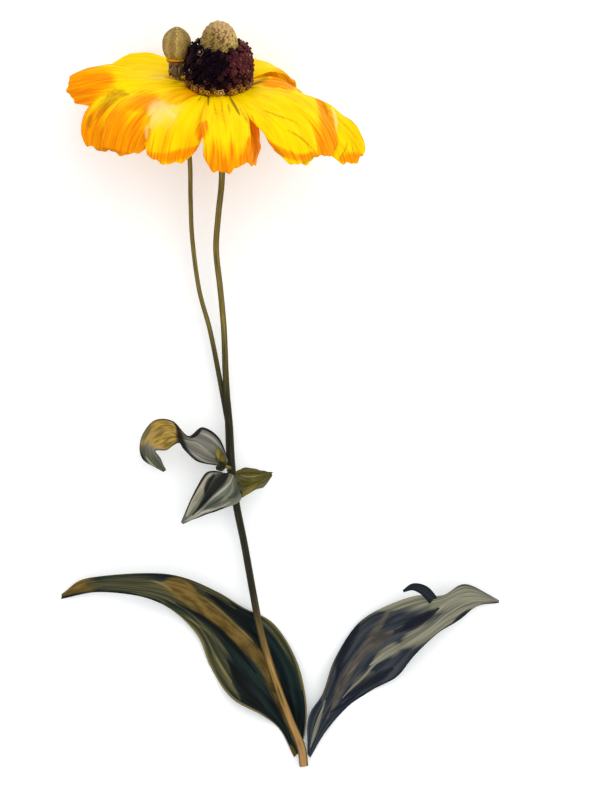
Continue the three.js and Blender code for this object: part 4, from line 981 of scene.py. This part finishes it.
CURLED_STROKES = (  # for its ochre back, green hook, pale veins and painted shade at its neck and back
    ([(-55, -19.8, 2.4), (-52.6, -15, 3.6), (-48.2, -11.4, 3.6), (-43.8, -13.4, 3.2),
      (-42.2, -16.6, 2.8), (-45.8, -19.4, 3.2), (-50.6, -19, 3.2)],
     [(-51.4, -17.4, 3.2), (-48.2, -16.6, 3.6), (-45, -15.8, 3.2)]),
    ([(-57.4, -19, 2.4), (-55, -22.2, 3.6), (-52.6, -25.4, 4), (-49.4, -27.8, 4),
      (-46.2, -29.4, 3)], [(-57, -19, 1.4), (-55.4, -14.2, 2.4), (-52.2, -10.6, 1.8)]),
    ([(-39, -17.4, 0.4), (-33.8, -18.6, 0.6), (-29.8, -21.4, 0.6), (-25.4, -24.6, 0.5)],
     [(-37.8, -21, 0.6), (-34.2, -23.4, 0.6), (-30.2, -25.8, 0.6), (-25.4, -26.6, 0.5)],
     [(-33, -14.2, 0.5), (-28.2, -16.2, 0.6), (-23.4, -20.6, 0.5)],
     [(-53.8, -23.8, 0.5), (-51.4, -27, 0.6), (-49, -29, 0.5)]),
    ([(-43.4, -9, 0.8), (-41, -12.6, 1.2), (-40.2, -16.6, 1.8), (-39, -19.8, 1.6),
      (-37, -23, 1.3), (-33.4, -25.8, 0.9), (-28.2, -27.4, 0.7)],
     [(-56.6, -19.8, 0.6), (-55, -24.2, 0.6), (-52.2, -27.8, 0.6), (-49, -29.8, 0.7),
      (-46.2, -30.2, 0.6)], [(-36.2, -16.6, 0.6), (-33.8, -15, 0.8), (-31.4, -12.6, 0.6)]))
FRONT_STROKES = (  # for its beige far half, green mottle, pale midrib and painted shade in the fold along its centre
    ([(-27.8, -30.2, 1.6), (-31, -33.8, 2.2), (-33, -38.2, 2), (-35, -42.2, 1.8),
      (-37.4, -47.4, 1.4)],),
    ([(-30.6, -45, 1), (-26.6, -42.6, 1.4), (-23, -40.2, 1.2)],
     [(-17.8, -31, 1), (-16.6, -34.6, 1.6), (-17.4, -38.6, 1.6), (-20.6, -40.6, 1.4)]),
    ([(-18.6, -31, 0.5), (-20.6, -35, 0.6), (-23.8, -37.8, 0.6), (-27.8, -41, 0.7),
      (-31.4, -44.6, 0.7), (-35, -47.8, 0.6), (-38.2, -49.8, 0.4)],
     [(-19.8, -42.2, 0.6), (-25.4, -45, 0.8), (-30.6, -46.2, 0.8), (-33.8, -48.2, 0.7),
      (-37.4, -49.8, 0.5)]),
    ([(-20.2, -29.4, 1.8), (-23.4, -32.6, 2.8), (-26.6, -36.2, 2.6), (-29, -39.8, 2),
      (-31.8, -43.8, 1.4), (-35, -47.4, 0.7)],
     [(-26.6, -31.4, 1.2), (-29, -35, 1.2), (-30.2, -39, 1)]))
SMALL_STROKES = (  # for its olive and yellow parts, its vein and a spot of painted shade
    ([(-18.6, -31, 2.4), (-13.8, -31, 3.2), (-9.8, -31.8, 3.2), (-5.8, -31.4, 2.4), (-3, -30.2, 1.2)],
     [(-16.2, -34.6, 2.8), (-12.2, -34.6, 2.8), (-7.4, -34.2, 2)],
     [(-18.6, -35, 1.6), (-17, -37.4, 1.6)]),
    ([(-16.2, -40.6, 1), (-13, -37.8, 1.3), (-9.4, -35, 1)],),
    ([(-16.2, -31.4, 0.3), (-12.2, -32.2, 0.4), (-7.4, -31.4, 0.3)],),
    ([(-17, -38.6, 0.8), (-15.4, -38.6, 0.8)],))


def curled_margins(u, v):
    """Painted black shade along the margins of the blade, and a thinner line of it round the back."""
    return 0, 0, 0, smooth(np.abs(v), 0.84, 0.93) * (1 - 0.5 * smooth(u, 0.5, 0.6))


def front_margins(u, v):
    """Painted black shade along the margins, but none where it lies over the small leaf."""
    return 0, 0, 0, smooth(np.abs(v), 0.86, 0.94) * np.maximum(v > 0, smooth(u, 0.35, 0.5))


def small_margins(u, v):
    """A pale lower margin, and thin lines of painted shade along the margins."""
    return 0, 0, 0.5 * smooth(v, 0.9, 0.98), 0.4 * smooth(np.abs(v), 0.92, 0.98)


curled_skin = leaf_skin(
    "curled_leaf_skin", ((0.13, 0.125, 0.11), (0.23, 0.22, 0.18)), ((0.17, 0.11, 0.012), (0.46, 0.3, 0.06)),
    ((0.035, 0.038, 0.02), (0.12, 0.12, 0.07)), (0.38, 0.37, 0.29), (0.002, 0.003, 0.003))
front_skin = leaf_skin(
    "front_leaf_skin", ((0.1, 0.11, 0.08), (0.19, 0.19, 0.14)), ((0.25, 0.23, 0.17), (0.4, 0.37, 0.28)),
    ((0.03, 0.045, 0.03), (0.07, 0.085, 0.06)), (0.5, 0.49, 0.4), (0.0015, 0.0025, 0.004))
small_skin = leaf_skin(
    "small_leaf_skin", ((0.08, 0.085, 0.055), (0.17, 0.17, 0.12)),
    ((0.04, 0.035, 0.006), (0.11, 0.09, 0.012)), ((0.12, 0.1, 0.012), (0.24, 0.2, 0.04)),
    (0.26, 0.24, 0.11), (0.008, 0.008, 0.003))
STEM_LEAVES = (
    ("stem_leaf_curled", CURLED, 170, CURLED_STROKES, curled_margins, curled_skin),
    ("stem_leaf_front", FRONT, 100, FRONT_STROKES, front_margins, front_skin),
    ("stem_leaf_right", SMALL, 80, SMALL_STROKES, small_margins, small_skin))
for name, leaf, rows, strokes, margins, material in STEM_LEAVES:
    made = Shape()
    grid = leaf_grid(leaf, rows, columns=49, arch=0.08, wave=0.3, veins=0.07)
    leaf_blade(made, leaf, grid, strokes, margins)
    made.piece(name + "_blade", material, "stem_leaf", name)

# The shoot in the axil of the leaves is a bud that has just begun to grow: a short stub and a pair of tiny
# pointed leaves.
SHOOT_STUB = [(-20.2, -28.6, 7.2, 0.8), (-20.9, -28.3, 8.6, 0.8), (-21.9, -27.8, 10.4, 0.6)]
SHOOT_LEAVES = (
    dict(midrib=[(-21.8, -27.8, 9.6), (-24, -24.4, 12.6), (-25.2, -20.4, 14.6)],
         left=[(-22.4, -28.2, 9.6), (-26, -25.2, 12.2), (-25.6, -20.6, 14.6)],
         right=[(-21.2, -27.4, 9.6), (-22.4, -23.4, 13), (-24.8, -20.2, 14.6)]),
    dict(midrib=[(-21.8, -28, 9.7), (-23.8, -28.3, 12.4), (-25.8, -28.7, 13.7)],
         left=[(-21.8, -28.5, 9.8), (-23.4, -29.9, 12.7), (-25.7, -29.2, 13.7)],
         right=[(-21.8, -27.2, 9.7), (-24, -26.4, 12.5), (-25.9, -28.2, 13.7)]))
SHOOT_STROKES = (  # for its tips, its sides, its veins and painted shade at its foot
    ([(-25.4, -21, 1.2), (-25, -23.8, 1.2)],),
    ([(-23.4, -24.2, 1), (-23, -25.4, 1)],),
    ([(-25.4, -21.8, 0.3), (-24.6, -25.4, 0.3)],),
    ([(-22.2, -27.8, 1.6), (-23.8, -28.2, 1.6), (-25.8, -29.4, 1.2)],
     [(-23.4, -26.2, 0.6), (-24.2, -27.4, 0.8)]))
shoot_skin = leaf_skin(
    "shoot_skin", ((0.04, 0.036, 0.01), (0.13, 0.11, 0.02)), ((0.14, 0.115, 0.018), (0.26, 0.21, 0.05)),
    ((0.1, 0.08, 0.012), (0.2, 0.16, 0.03)), (0.34, 0.29, 0.11), (0.006, 0.007, 0.003))


def shoot_margins(u, v):
    """Painted shade along the margins."""
    return 0, 0, 0, 0.7 * smooth(np.abs(v), 0.85, 0.95)


shoot = Shape()
for leaf in SHOOT_LEAVES:
    grid = leaf_grid(leaf, rows=30, columns=13, arch=0.05, wave=0, veins=0.03)
    leaf_blade(shoot, leaf, grid, SHOOT_STROKES, shoot_margins)
tube(shoot, SHOOT_STUB, rings=20, sides=16, ridges=5, depth=0.03, tint=(0, 0, 0, 0))
shoot.piece("axil_shoot", shoot_skin, "shoot", "axillary_shoot")
